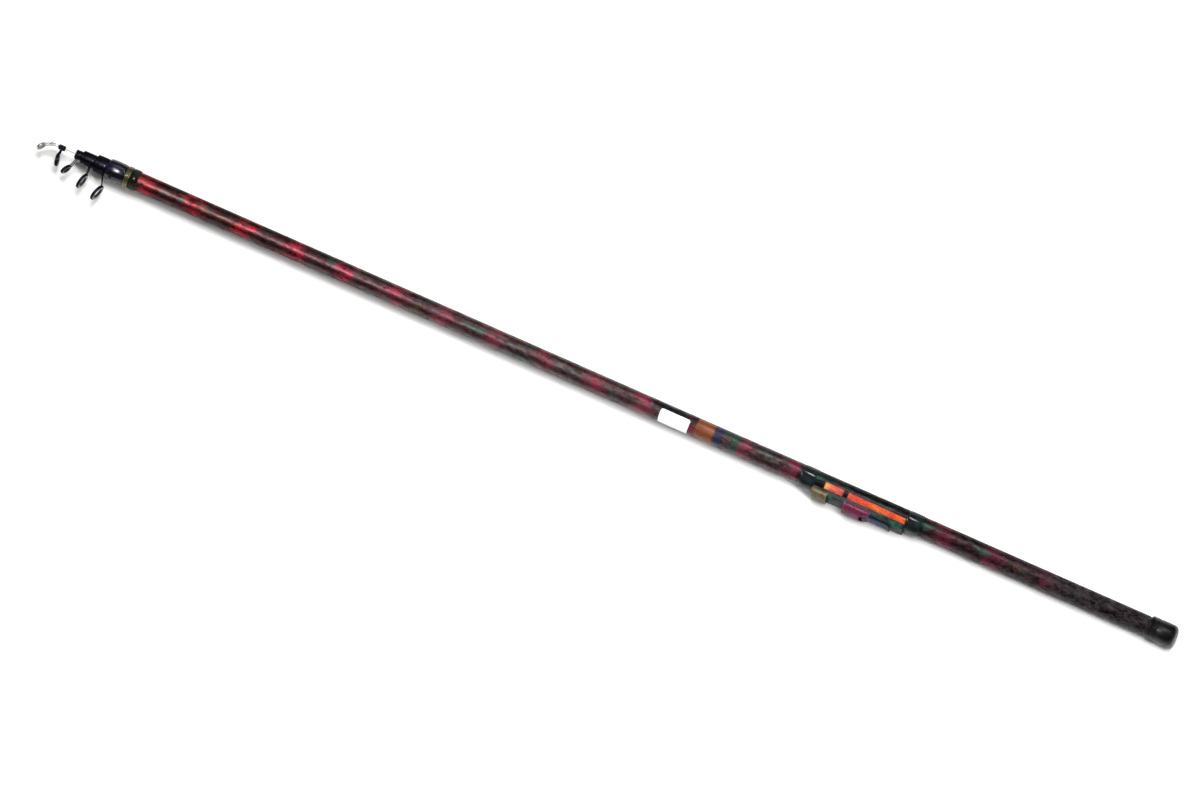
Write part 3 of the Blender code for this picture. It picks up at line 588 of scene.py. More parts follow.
# Torn patches of flake under clear lacquer. Decals are printed under the lacquer of the butt section.
def marbledLacquer(name, printed):
    finish = Finish(name, coatRoughness=0.30, coatIor=1.38, gloss=0.1, edgeTint=(0.12, 0.12, 0.12))
    x, angle = finish.aroundAxis()[:2]
    drift = finish.noise((20, 70, 70), 2.0)
    veins = finish.noise((95, 230, 230), 4.0, 0.55, 1.2)
    smoke = finish.noise((160, 330, 330), 3.0, 0.5, 0.8).ease(0.40, 0.60)
    fine = finish.noise((210, 380, 380), 4.0, 0.6, 0.8)
    flake = finish.noise((700, 1100, 1100), 2.0)
    turns = (x - marbling["start"]) / marbling["pitch"] + (drift - 0.5) * marbling["wander"]
    wave = turns.waved() + (veins - 0.5) * marbling["ragged"] + (fine - 0.5) * 2.0
    grip = x.ease(*marbling["gripFade"])
    paintedSheen = x.ease(*marbling["paintedSheenRise"]) * (1 - x.ease(*marbling["paintedSheenFall"]) * 0.65)
    patch = wave.ease(*marbling["edge"]) * (1 - grip)
    along = x / marbling["colourRun"]
    paint = finish.ramp(along, marbling["patches"])
    paint = finish.mix(flake.ease(0.3, 0.7) * 0.3 + smoke * 0.45, paint, marbling["patchShade"])
    tint = finish.ramp(finish.noise((34, 120, 120), 2.0).ease(0.3, 0.7), marbling["tints"])
    tintShare = finish.noise((60, 150, 150), 2.0).ease(0.48, 0.58)
    ground = finish.mix(smoke * 0.75, marbling["ground"], marbling["smoke"])
    ground = finish.mix(tintShare * 0.8, ground, tint)
    wispShare = (1 - veins).ease(0.42, 0.66) * (0.35 + fine.ease(0.35, 0.65) * 0.65)
    ground = finish.mix(wispShare * 0.8, ground, finish.ramp(along, marbling["wisps"]))
    gripTone = (smoke * 0.3 + veins.ease(0.45, 0.55) * 0.7).clear()
    ground = finish.mix(grip, ground, finish.mix(gripTone, *marbling["grip"]))
    colour = finish.mix(patch, ground, paint)
    # painted sheen over the middle of the rod, standing in for its hazy reflection; it also takes some metal
    # away there
    colour = finish.mix(paintedSheen * (0.03 + smoke * 0.15), colour, marbling["paintedSheen"])
    metal = 0.93 - patch * 0.25 - paintedSheen * 0.30 - grip * 0.7
    if printed:
        edges = (finish.noise(900, 2.0) - 0.5) * decals["ringWobble"]
        for start, end, tone in decals["rings"]:
            ring = (x + edges).between(start, end, 0.5)
            colour = finish.mix(ring * (0.55 + veins * 0.6), colour, tone)
            metal = metal * (1 - ring * 0.7)
        start, end, tone = decals["aboveLabel"]
        above = angle.between(*inRadians(decals["aboveTurn"]), 0.12)
        colour = finish.mix(above * x.between(start, end, 2) * 0.85, colour, tone)
        start, end, tone, cast = decals["dark"]
        dark = x.between(start, end, 1.0) * (0.80 + smoke * 0.12)
        colour = finish.mix(dark, colour, finish.mix(tintShare * 0.5, tone, cast))
        lowTurn, highTurn = inRadians(decals["stripeTurn"])
        first, last = decals["stripes"][0][0], decals["stripes"][-1][1]
        run = (x - first) / (last - first)
        band = (angle + run.clear() * radians(decals["stripeSlant"])).between(lowTurn, highTurn, 0.025)
        tone = finish.ramp(run, decals["stripeColours"])
        tone = finish.mix(veins.ease(0.42, 0.62) * 0.55, tone, decals["stripeVein"])
        tone = finish.mix(fine.ease(0.46, 0.70) * 0.6, tone, decals["stripeCrack"])
        tone = finish.mix(smoke * flake.ease(0.35, 0.75) * 0.30, tone, decals["stripeFleck"])
        underTurn, red = decals["under"]
        under = angle.between(radians(underTurn), lowTurn, 0.05) * x.between(first, last, 2)
        colour = finish.mix(under * (0.5 + veins * 0.6), colour, red)
        shade = 0.35 + angle.ease(*inRadians(decals["stripeFade"])) * 0.52
        for start, end in decals["stripes"]:
            stripe = x.between(start, end, 0.6) * band
            colour = finish.mix(stripe * shade, colour, tone)
            metal = metal * (1 - stripe)
    worn = finish.scuffs()
    coat = 0.38 + x.ease(*marbling["coatRise"]) * 0.52 - x.ease(*marbling["coatFall"]) * 0.58 - worn * 0.06
    peel = finish.noise((260, 420, 420), 2.0)
    height = spiral(x, angle, marbling["wrapPitch"]) * 0.1 + peel * 0.5 + finish.cells(1500) * grip * 1.4
    return finish.set(
        colour=finish.mix(worn * 0.05, colour, marbling["worn"]),
        metal=metal,
        roughness=0.37 + flake * 0.08 + grip * 0.1 + worn * 0.08,
        coat=coat * (0.35 + veins.ease(0.40, 0.60) * 0.65 + smoke * 0.3),
        normal=finish.bump(height, 0.05, 0.45),
    )


# Pale lacquer of the tip section, with the fine spiral of its wrapping
def tipLacquer():
    finish = Finish("tipLacquer", coat=1.0, coatRoughness=0.12)
    x, angle = finish.aroundAxis()[:2]
    mottle = finish.noise((120, 600, 600), 4.0, 0.6)
    worn = finish.scuffs()
    base = finish.mix(mottle.ease(0.3, 0.7), (0.36, 0.36, 0.37), (0.50, 0.50, 0.50))
    return finish.set(
        colour=finish.mix(worn * 0.3, base, (0.22, 0.22, 0.23)),
        roughness=0.3 + worn * 0.2,
        normal=finish.bump(spiral(x, angle, 0.9) * 0.3 + mottle, 0.03, 0.4),
    )


# Fine thread wound round and round under a thick clear coat
def woundThread(name, thread, sheen, coat=0.2, coatIor=1.45, pitch=0.30):
    finish = Finish(name, coat=coat, coatRoughness=0.12, coatIor=coatIor, gloss=0.04)
    x, angle = finish.aroundAxis()[:2]
    tension = (finish.noise(420, 2.0) - 0.5) * (0.35 * pitch)
    ridge = spiral(x + tension, angle, pitch)
    fibre = finish.noise((900, 5200, 5200), 3.0, 0.6)
    tone = finish.mix(finish.noise((60, 160, 160), 2.0).ease(0.4, 0.65), thread, sheen)
    # painted shade: the grooves between the thread's turns are darkened
    tone = finish.mix(ridge.ease(-0.2, -0.9) * 0.75, tone, (0.002, 0.002, 0.003))
    return finish.set(
        colour=finish.mix(fibre.ease(0.55, 0.7) * 0.3, tone, (0.05, 0.05, 0.065)),
        roughness=0.34 + fibre * 0.2,
        normal=finish.bump(ridge + fibre * 0.4, 0.09, 0.8),
    )


# Turned brass ring under lacquer, a little tarnished in its grooves
def goldBand():
    finish = Finish("goldBand", metal=1.0, coat=0.6, coatRoughness=0.08)
    radius = finish.aroundAxis()[2]
    tarnish = finish.noise(700, 4.0, 0.6)
    groove = ((radius - 10.9) / 0.3).clear()  # 0 in the grooves, 1 on the ridges
    bright = finish.mix(tarnish.ease(0.35, 0.7), (0.30, 0.27, 0.11), (0.18, 0.165, 0.070))
    return finish.set(
        colour=finish.mix(groove, (0.060, 0.053, 0.025), bright),
        roughness=0.24 + tarnish * 0.2 + (1 - groove) * 0.15,
        normal=finish.bump(finish.noise((9000, 40, 40), 2.0), 0.02, 0.35),
    )


# Film label left bare, rubbed grey along its edges
def labelFilm():
    finish = Finish("labelFilm", coat=0.5, coatRoughness=0.22)
    x, angle = finish.aroundAxis()[:2]
    start, end = span("blank_label")[:2]
    edges = inRadians((-4.5, 94.5))   # the long edges are rubbed from about these turns
    fibre = finish.noise((1500, 2600, 2600), 4.0, 0.6)
    cloud = finish.noise(140, 3.0, 0.55)
    inside = x.between(start + 0.7, end - 0.7, 0.6) * angle.between(*edges, 0.06)
    rubbed = (1 - inside) * cloud.ease(0.35, 0.65)
    sheet = finish.mix(fibre.ease(0.4, 0.7) * 0.35, (0.93, 0.93, 0.93), (0.84, 0.845, 0.85))
    return finish.set(
        colour=finish.mix(rubbed * 0.5, sheet, (0.46, 0.45, 0.44)),
        roughness=0.38 + fibre * 0.14 + rubbed * 0.2,
        normal=finish.bump(fibre + cloud * 0.6, 0.02, 0.4),
    )


# Moulded plastic: base and mottle colours, how the raised parts wear, and tints that swirl through it
def mouldedPlastic(name, base, mottle, worn, roughness, coat=0.3, tints=()):
    finish = Finish(name, coatRoughness=0.16, coatIor=1.4, gloss=0.06)
    cloud = finish.noise(160, 4.0, 0.6, 0.6)
    pebble = finish.cells(1300)
    scuff = finish.scuffs()
    rubbed = (finish.corners(0.53, 0.62) * cloud.ease(0.35, 0.6) + scuff * 0.25).clear()
    colour = finish.mix(cloud.ease(0.35, 0.68), base, mottle)
    if tints:
        hue = finish.noise((95, 60, 60), 1.0).ease(0.32, 0.68)
        share = finish.noise(150, 3.0, 0.6, 0.8).ease(0.44, 0.56)
        colour = finish.mix(share * 0.8, colour, finish.ramp(hue, tints))
    return finish.set(
        colour=finish.mix(rubbed * 0.55, colour, worn),
        roughness=roughness + pebble * 0.12 + scuff * 0.12 - rubbed * 0.06,
        coat=coat * (1 - rubbed),
        normal=finish.bump(pebble + cloud * 0.5, 0.035, 0.5),
    )


# Metal: base colour, second colour of its mottling, bright worn colour and the grain of its polishing
def finishedMetal(name, base, mottle, bright, rough, metal=1.0, coat=0.0, edge=1.0, brush=(300, 300, 300)):
    finish = Finish(name, metal=metal, coat=coat, coatRoughness=0.08, edgeTint=(edge, edge, edge))
    cloud = finish.noise(330, 4.0, 0.6, 0.4)
    lines = finish.noise(brush, 4.0, 0.65)
    speck = finish.noise(1900, 3.0, 0.6).ease(0.6, 0.7)
    rubbed = (finish.corners(0.53, 0.63) * 0.7 + speck * 0.25 * cloud).clear()
    colour = finish.mix(cloud.ease(0.35, 0.65), base, mottle)
    return finish.set(
        colour=finish.mix(rubbed, colour, bright),
        roughness=rough + lines * 0.14 + cloud * 0.06 - rubbed * 0.05,
        normal=finish.bump(lines + cloud * 0.4, 0.02, 0.4),
    )


# Glazed hard ring that the line runs over
def ringCeramic(name, base, mottle, coat=1.0):
    finish = Finish(name, coat=coat, coatRoughness=0.03, coatIor=1.6, gloss=0.3)
    body = finish.noise(1500, 4.0, 0.6)
    track = finish.noise((2200, 160, 160), 3.0, 0.6).ease(0.5, 0.7)
    return finish.set(
        colour=finish.mix(body.ease(0.4, 0.7), base, mottle),
        roughness=0.14 + track * 0.16 + body * 0.05,
        normal=finish.bump(body, 0.01, 0.3),
    )


# Rubber with a fine moulded grain, dusty where nothing rubs it
def blackRubber(name, base, dusty):
    finish = Finish(name, gloss=0.28)
    grain = finish.cells(1700)
    cloud = finish.noise(120, 4.0, 0.6)
    dust = finish.noise(900, 4.0, 0.7).ease(0.52, 0.72) * cloud.ease(0.4, 0.7)
    pale = (cloud.ease(0.30, 0.75) * 0.5 + dust * 0.4 + finish.scuffs(0.7) * 0.2).clear()
    return finish.set(
        colour=finish.mix(pale, base, dusty),
        roughness=0.24 + grain * 0.08 + dust * 0.25 + cloud * 0.08,
        normal=finish.bump(grain + cloud * 0.6, 0.05, 0.5),
    )


def padFoam():
    finish = Finish("padFoam", gloss=0.2)
    pores = finish.cells(1900)
    return finish.set(
        colour=finish.mix(pores.ease(0.1, 0.6), (0.018, 0.018, 0.020), (0.075, 0.074, 0.074)),
        roughness=0.86 + finish.noise(420, 3.0, 0.6) * 0.12,
        normal=finish.bump(pores, 0.25, 0.9),
    )


finishes = {
    "butt": marbledLacquer("marbledLacquer", printed=True),
    "sections": marbledLacquer("sectionLacquer", printed=False),
    "tip": tipLacquer(),
    "collar": woundThread("collarThread", (0.004, 0.004, 0.009), (0.018, 0.012, 0.050), 1.0, 1.48),
    "collarBand": woundThread("collarBandThread", (0.006, 0.006, 0.004), (0.030, 0.027, 0.010)),
    "binding": woundThread("bindingThread", (0.006, 0.008, 0.009), (0.010, 0.022, 0.024), 0.5, 1.5),
    "gold": goldBand(),
    "label": labelFilm(),
    "plate": mouldedPlastic(
        "seatPlate", (0.004, 0.007, 0.007), (0.006, 0.020, 0.016), (0.045, 0.060, 0.056), 0.36, 0.10,
        tints=(
            (0.00, (0.004, 0.075, 0.034)), (0.25, (0.005, 0.045, 0.038)), (0.40, (0.006, 0.008, 0.010)),
            (0.52, (0.130, 0.010, 0.016)), (0.64, (0.030, 0.012, 0.014)), (0.80, (0.006, 0.034, 0.100)),
            (1.00, (0.010, 0.060, 0.070)),
        ),
    ),
    "fixedHood": mouldedPlastic(
        "bronzeHood", (0.052, 0.040, 0.017), (0.110, 0.088, 0.040), (0.24, 0.20, 0.12), 0.32,
    ),
    "slideHood": mouldedPlastic(
        "crimsonHood", (0.115, 0.008, 0.024), (0.075, 0.012, 0.048), (0.27, 0.090, 0.13), 0.32,
    ),
    "lever": mouldedPlastic(
        "darkLever", (0.005, 0.014, 0.022), (0.006, 0.026, 0.050), (0.05, 0.075, 0.09), 0.32, 0.15,
    ),
    "steel": finishedMetal("pinSteel", (0.20, 0.20, 0.21), (0.15, 0.15, 0.16), (0.42, 0.42, 0.43), 0.3),
    "frame": finishedMetal(
        "gunmetalFrame", (0.004, 0.004, 0.007), (0.009, 0.008, 0.015), (0.07, 0.07, 0.09), 0.30, 0.85,
        coat=0.06, edge=0.2,
    ),
    "tipTop": finishedMetal("brightFrame", (0.62, 0.63, 0.60), (0.50, 0.51, 0.49), (0.82, 0.82, 0.80), 0.16),
    "ceramic": ringCeramic("ringCeramic", (0.012, 0.012, 0.022), (0.026, 0.026, 0.042), 0.35),
    "paleCeramic": ringCeramic("paleCeramic", (0.22, 0.22, 0.21), (0.30, 0.30, 0.29)),
    "aluminium": finishedMetal(
        "threadAluminium", (0.58, 0.58, 0.59), (0.50, 0.50, 0.52), (0.80, 0.80, 0.80), 0.26,
        brush=(5200, 60, 60),
    ),
    "rubber": blackRubber("blackRubber", (0.0008, 0.0008, 0.0010), (0.010, 0.0098, 0.0092)),
    "seal": blackRubber("sealRubber", (0.003, 0.003, 0.0035), (0.016, 0.015, 0.0145)),
    "foam": padFoam(),
}
print("finishes made:", len(finishes))


# Butt section: blank, wound bands and label

buttBlank = {
    "length": span("butt_blank")[1],
    "frontRadius": 9.5,
    "rearRadius": 10.5,
    "wall": 1.1,
    "rounding": 0.35,
}


def buttRadius(x):
    taper = buttBlank["rearRadius"] - buttBlank["frontRadius"]
    return buttBlank["frontRadius"] + taper * x / buttBlank["length"]


# A hollow tapered tube with rounded ends
def tube(start, end, startRadius, endRadius, wall, rounding, sides=96, longest=40):
    profile = rounded([
        (start, startRadius, rounding), (end, endRadius, rounding),
        (end, endRadius - wall, rounding * 0.7), (start, startRadius - wall, rounding * 0.7),
    ], 3)
    return turned(divided(profile, longest), sides)


swellFade = {"turn": 46, "width": 9}  # degrees round from the guide side


# Thread wound over a tube and coated. Edge and bulge are heights over the tube and shoulder is how soon it
# rises. Swell is how much thicker it is on the guide side, where it covers a tongue of the plate.
def coatedBand(start, end, under, edge, bulge, shoulder, swell=0.0):
    profile = [(start, under(start) + 0.01)]
    for turn in arc(0, 180, 26):
        t = (1 - cos(turn)) / 2
        x = start + (end - start) * t
        near = min(min(x - start, end - x) / shoulder, 1.0)
        rise = sqrt(max(0.0, 1 - (1 - near) ** 2))
        profile.append((x, under(x) + 0.04 + edge * rise + bulge * (1 - (2 * t - 1) ** 2)))
    profile.append((end, under(end) + 0.01))

    def shape(x, radius, angle):
        lift = radius - under(x) - 0.04
        if lift <= 0:
            return radius
        turn = abs(degrees((angle + pi) % tau - pi))
        return radius + lift * swell / (1 + exp((turn - swellFade["turn"]) / swellFade["width"]))

    return turned(profile, shape=shape)


# name: (node, start, end, edge height, bulge, shoulder, swell, finish). The last two bind the seat's tongues.
bands = {
    "collarWrap": ("butt_collar", 0.0, 19.5, 0.78, 0.66, 1.6, 0.0, "collar"),
    "collarBandWrap": ("collar_band", 25.4, 34.0, 0.70, 0.42, 1.5, 0.0, "collarBand"),
    "frontBinding": ("seat_front_binding", 768.3, 783.7, 0.26, 0.16, 2.0, 4.6, "binding"),
    "rearBinding": ("seat_rear_binding", 884.3, 899.7, 0.26, 0.16, 2.0, 4.6, "binding"),
}


def makeBand(name):
    node, start, end, edge, bulge, shoulder, swell, look = bands[name]
    band = coatedBand(start, end, buttRadius, edge, bulge, shoulder, swell)
    makePiece(name, band, look, "butt", node)


goldCheck = {"start": 20.0, "end": 25.0, "rootRadius": 10.72, "shoulder": 0.25, "ridge": 0.38, "ridges": 3}


def makeCheck():
    start, end, root = goldCheck["start"], goldCheck["end"], goldCheck["rootRadius"]
    inner, low = buttRadius(end) + 0.02, root - goldCheck["shoulder"]
    profile = [(start, inner), (start, low)]
    for t in spread(0, 1, 14 * goldCheck["ridges"]):
        lift = abs(sin(pi * goldCheck["ridges"] * t)) ** 0.55
        profile.append((start + (end - start) * (0.02 + 0.96 * t), root + goldCheck["ridge"] * lift))
    return turned(profile + [(end, low), (end, inner)])


label = {
    "start": 613,
    "end": 645,
    "turn": (-7.0, 93.5),         # degrees round from the guide side
    "corner": 2.2,
    "lift": (0.02, 0.28),         # its two faces over the blank
    "across": 36,
}


# A thin film with round corners, bent round the blank
def makeLabel():
    start, end, corner, across = label["start"], label["end"], label["corner"], label["across"]
    low, high = inRadians(label["turn"])
    middle = (low + high) / 2
    places = [start + corner * (1 - cos(turn)) for turn in arc(0, 90, 8)[:-1]]
    places += spread(start + corner, end - corner, 8)
    places += [end - (x - start) for x in places[7::-1]]
    shell = Shell()
    for lift in label["lift"]:
        for x in places:
            radius = buttRadius(x) + lift
            near = min(x - start, end - x)
            pull = corner - sqrt(max(0.0, corner ** 2 - max(0.0, corner - near) ** 2))
            reach = (high - low) / 2 - pull / radius
            turns = spread(middle - reach, middle + reach, across)
            shell.points += [polar(x, radius, turn) for turn in turns]
    row, last = across + 1, len(places) - 1
    layer = row * len(places)
    for i in range(last + 1):
        for k in range(across + 1):
            here = i * row + k
            if i < last and k < across:
                for face in (here, layer + here):
                    shell.faces.append([face, face + 1, face + row + 1, face + row])
            if i < last and k in (0, across):
                shell.faces.append([here, here + row, layer + here + row, layer + here])
            if k < across and i in (0, last):
                shell.faces.append([here, here + 1, layer + here + 1, layer + here])
    return shell


blank = tube(0, *[buttBlank[key] for key in ("length", "frontRadius", "rearRadius", "wall", "rounding")])
makePiece("buttBlank", blank, "butt", "butt", "butt_blank")
makeBand("collarWrap")
makeBand("collarBandWrap")
makePiece("goldCheck", makeCheck(), "gold", "butt", "winding_check")
makePiece("blankLabel", makeLabel(), "label", "butt", "blank_label")
print("butt section made")


# Reel seat: plate, hoods and lever

seat = {
    "start": 784,
    "end": 884,
    "saddle": 10.584,             # radius of the plate's hollow underside
    "top": 14.184,
    "webHalf": 7.4,
    "flangeHalf": 8.8,
    "flangeDepth": 2.2,
    "edge": 0.45,
    "landHalf": 5.0,
    "land": (803.0, 818.4, 0.15),     # start, end and rise of the flat land between the hoods
    "ridges": (852.0, 880.0),
    "ridgePitch": 2.0,
    "ridgeWidth": 1.0,
    "ridgeRise": 0.13,
    "tongue": 15,
    "tongueWall": 0.8,
    "tongueTurn": 22.5,           # degrees to each side
}


def saddleArc(radius, half, steps):
    reach = asin(half / radius)
    return [(radius * sin(turn), radius * cos(turn)) for turn in spread(-reach, reach, steps)]


# The right half of an outline, mirrored into the left half in reverse
def mirrored(half):
    return half + [(-point[0], *point[1:]) for point in half[::-1]]


def makePlate():
    top, web, flange = seat["top"], seat["webHalf"], seat["flangeHalf"]
    low, half = top - seat["flangeDepth"], seat["landHalf"]
    hollow = saddleArc(seat["saddle"], web - 0.1, 20)
    crown = rounded(mirrored([(web, low, 0.25), (flange, low, 0.3), (flange, top, 0.7)]), 4)
    foot = hollow[-1][1] + 0.1
    outline = hollow + [(web, foot)] + crown + [(-web, foot)]
    plate = softPrism(outline, seat["start"], seat["end"], seat["edge"])

    rows = [seat["land"]]
    x = seat["ridges"][0]
    while x + seat["ridgeWidth"] + 0.1 < seat["ridges"][1]:
        rows.append((x, x + seat["ridgeWidth"], seat["ridgeRise"]))
        x += seat["ridgePitch"]
    for start, end, rise in rows:
        strip = rounded([
            (-half, top - 0.2, 0), (half, top - 0.2, 0),
            (half, top + rise, rise * 0.9), (-half, top + rise, rise * 0.9),
        ], 2)
        plate.add(softPrism(strip, start, end, rise * 0.8, 2))

    turn = sin(radians(seat["tongueTurn"]))
    faces = (seat["saddle"], seat["saddle"] + seat["tongueWall"])
    inner, outer = [saddleArc(radius, radius * turn, 12) for radius in faces]
    for end, way in ((seat["start"], -1), (seat["end"], 1)):
        places = sorted((end - way, end + way * seat["tongue"]))
        plate.add(softPrism(inner + outer[::-1], *places, 0.25, 3))
    return plate


hood = {
    "half": 10.3,
    "skirt": 3.2,
    "gap": 0.3,
    "footHalf": 6.4,
    "footHeight": 3.3,
    "fixedLength": 17.4,
    "fixedRise": 4.4,
    "fixedDepth": 13.5,
    "nose": (5.0, 3.6, 0.35),     # length, drop and taper of the fixed hood's round nose
    "lipWidth": 1.6,
    "lipRise": 0.28,
    "slideStart": 820,
    "slideLength": 28,
    "slideRise": 6.0,
    "slideDepth": 14,
    "slopeStart": 16.6,
    "slopeDrop": 3.4,
    "ribRise": 0.3,
    "ribPitch": 1.9,
    "slotStart": 18.5,
    "slotHalf": 5.5,
    "pivotSetback": 23.5,
    "pivotHeight": seat["top"] + 2.7,
    "pivotBore": 1.1,
    "past": 1,                    # how far a cut runs past the face it opens
}


def hoodOutline(rise, grow):
    half, bottom = hood["half"] + grow, seat["top"] - hood["skirt"]
    points = [(-half + 0.5, bottom), (half - 0.5, bottom), (half - 0.15, bottom + 0.15), (half, bottom + 0.5)]
    for turn in arc(0, 180, 36):
        points.append((half * cos(turn), seat["top"] + (rise + grow) * abs(sin(turn)) ** 0.92))
    return points + [(-half, bottom + 0.5), (-half + 0.15, bottom + 0.15)]


# Skin of a hood through rows of (distance from its start, drop from its full rise, growth)
def hoodSkin(start, rise, rows, split=False):
    return lofted([(start + away, hoodOutline(rise - drop, grow)) for away, drop, grow in rows], split)


# The channel that runs on the plate's flanges
def channelCut(start, length):
    gap, top = hood["gap"], seat["top"]
    web, flange = seat["webHalf"] + gap, seat["flangeHalf"] + gap
    low, deep = top - seat["flangeDepth"] - gap, top - hood["skirt"] - hood["past"]
    half = [(web, deep, 0), (web, low, 0), (flange, low, 0.2), (flange, top + gap, 0.6)]
    return extruded(rounded(mirrored(half), 3), start - hood["past"], start + length + hood["past"])


# The hollow for the foot of a reel
def footCut(start, end):
    half, floor = hood["footHalf"], seat["top"] + hood["gap"]
    outline = [(half * cos(turn), floor + hood["footHeight"] * sin(turn)) for turn in arc(0, 180, 20)]
    return extruded(outline + [(-half, seat["top"] - 1), (half, seat["top"] - 1)], start, end)


def makeFixedHood():
    start, length, lift = seat["start"], hood["fixedLength"], hood["lipRise"]
    lip, end = length - hood["lipWidth"], start + length
    run, drop, taper = hood["nose"]
    rows = []
    for turn in arc(0, 90, 8):
        short = 1 - sin(turn)
        rows.append((run * (1 - cos(turn)) ** 0.9, drop * short, -taper * short))
    rows += [(8, 0, 0), (lip - 0.3, 0, 0), (lip, 0, lift), (length - 0.3, 0, lift), (length, 0, lift - 0.25)]
    cuts = [channelCut(start, length), footCut(end - hood["fixedDepth"], end + hood["past"])]
    return worked(hoodSkin(start, hood["fixedRise"], rows), cuts)


def makeSlideHood():
    start, length, rise = hood["slideStart"], hood["slideLength"], hood["slideRise"]
    lip, lift, rib, past = hood["lipWidth"], hood["lipRise"], hood["ribRise"], hood["past"]
    rows = [(0, 0, lift - 0.25), (0.3, 0, lift), (lip, 0, lift), (lip + 0.3, 0, 0)]
    away = lip + 1.0
    while away < hood["slideDepth"]:  # grip ribs across the top
        rows += [(away, 0, 0), (away + 0.3, 0, rib), (away + 0.8, 0, rib), (away + 1.1, 0, 0)]
        away += hood["ribPitch"]
    slope = hood["slopeStart"]
    for t in spread(0, 1, 9):         # the back slopes down to the lever
        rows.append((slope + (length - slope) * t, hood["slopeDrop"] * t ** 2.2, -0.25 * t ** 6))
    low, high, half = seat["top"] - 1, seat["top"] + rise + 2, hood["slotHalf"]
    slot = [(-half, low), (half, low), (half, high), (-half, high)]
    return worked(hoodSkin(start, rise, rows, split=True), [
        channelCut(start, length),
        footCut(start - past, start + hood["slideDepth"]),
        extruded(slot, start + hood["slotStart"], start + length + past),
        pinned(start + hood["pivotSetback"], hood["pivotHeight"], hood["pivotBore"], hood["half"] + past),
    ])


lever = {
    "half": 5.2,
    "hubRadius": 2.2,
    "hubDrop": 0.2,
    "length": 28.5,
    "arm": (0.5, 2.3),            # its top and bottom under the pivot
    "tipLift": 1.0,
    "tipLength": 4.5,
    "ribs": (14.5, 23.6),
    "ribPitch": 1.5,
    "ribHalf": 4.1,
    "ribSink": 0.12,
    "edge": 0.28,
    "pinRadius": 0.8,
    "pinHalf": 7.2,
    "pinDome": 0.3,
}
pivotX = hood["slideStart"] + hood["pivotSetback"]
pivotH = hood["pivotHeight"]


def makeLever():
    hub, length, (top, bottom) = lever["hubRadius"], lever["length"], lever["arm"]
    tipStart = length - lever["tipLength"]
    outline = [(hub * cos(turn), hub * sin(turn) - lever["hubDrop"]) for turn in arc(270, 45, 24)]
    outline += rounded([
        (hub * 1.6, -top, 0), (tipStart, -top, 1.6), (length - 1.0, lever["tipLift"], 0.3),
        (length, -0.2, 0.3), (tipStart + 0.8, -bottom, 1.4), (hub * 1.2, -bottom, 0),
    ], 5)
    profile = [(pivotX + x, pivotH + h) for x, h in outline]
    half = lever["half"]
    arm = softPrism(profile, -half, half, lever["edge"], across=True)
    shell = worked(arm, [pinned(pivotX, pivotH, hood["pivotBore"], half + hood["past"])])
    x = pivotX + lever["ribs"][0]
    high, wide = pivotH - top - lever["ribSink"], lever["ribHalf"]
    while x < pivotX + lever["ribs"][1]:
        path = [Vector((x, -high, z)) for z in (-wide, -2, 2, wide)]
        shell.add(swept(path, [0.4, 0.42, 0.42, 0.4], 12))
        x += lever["ribPitch"]
    return shell


pin = pinned(pivotX, pivotH, lever["pinRadius"], lever["pinHalf"], lever["pinDome"])
makePiece("seatPlate", makePlate(), "plate", "butt", "seat_plate")
makeBand("frontBinding")
makeBand("rearBinding")
makePiece("fixedHood", makeFixedHood(), "fixedHood", "butt", "fixed_hood", 30)
makePiece("slideHood", makeSlideHood(), "slideHood", "slide_hood", "slide_hood", 30)
makePiece("lockLever", makeLever(), "lever", "lock_lever", "lock_lever", 30)
makePiece("leverPin", pin, "steel", "slide_hood", "lever_pin")
print("reel seat made")


# Butt end: threaded bush, seal, plug, pad and rubber boot

buttEnd = {
    "bushStart": 1125,
    "bushBore": 8.53,
    "bushWall": 0.55,
    "pitch": 1.5,
    "threadDepth": 0.32,
    "shankRadius": 8.28,
    "shankLength": 24.7,
    "flangeRadius": 10.8,
    "flange": 3.0,
    "coreRadius": 8.0,
    "coreLength": 19,
    "coreGroove": (6, 9.2, 0.7),  # start, end and depth of the groove that the boot grips
    "sealStart": 1147.3,
    "sealThickness": 1.8,
    "gap": 0.3,
    "bootRadius": 12.2,
    "bootLength": 29.6,
    "bootRounding": 6.2,
    "bootGrooves": (4.2, 6.6, 9.0),
    "grooveWidth": 1.1,
    "grooveDepth": 0.38,
    "padThickness": 3.7,
}
flangeStart = buttEnd["sealStart"] + buttEnd["sealThickness"] + buttEnd["gap"]


# Depth of a screw thread at x and angle
def threadDepth(x, angle):
    turn = (x / buttEnd["pitch"] - angle / tau) % 1.0
    return buttEnd["threadDepth"] * min(1.0, max(0.0, abs(turn - 0.5) * 3.2 - 0.3))


def makeBush():
    start, end, bore = buttEnd["bushStart"], buttBlank["length"], buttEnd["bushBore"]
    outer = bore + buttEnd["bushWall"]

    def shape(x, radius, angle):
        threaded = radius <= bore + 0.1 and start + 1 < x < end - 1
        return radius + threadDepth(x, angle) * threaded

    profile = rounded([(start, outer, 0.15), (end, outer, 0.15), (end, bore, 0.2), (start, bore, 0.2)], 2)
    return turned(divided(profile, 0.22), 64, shape=shape)


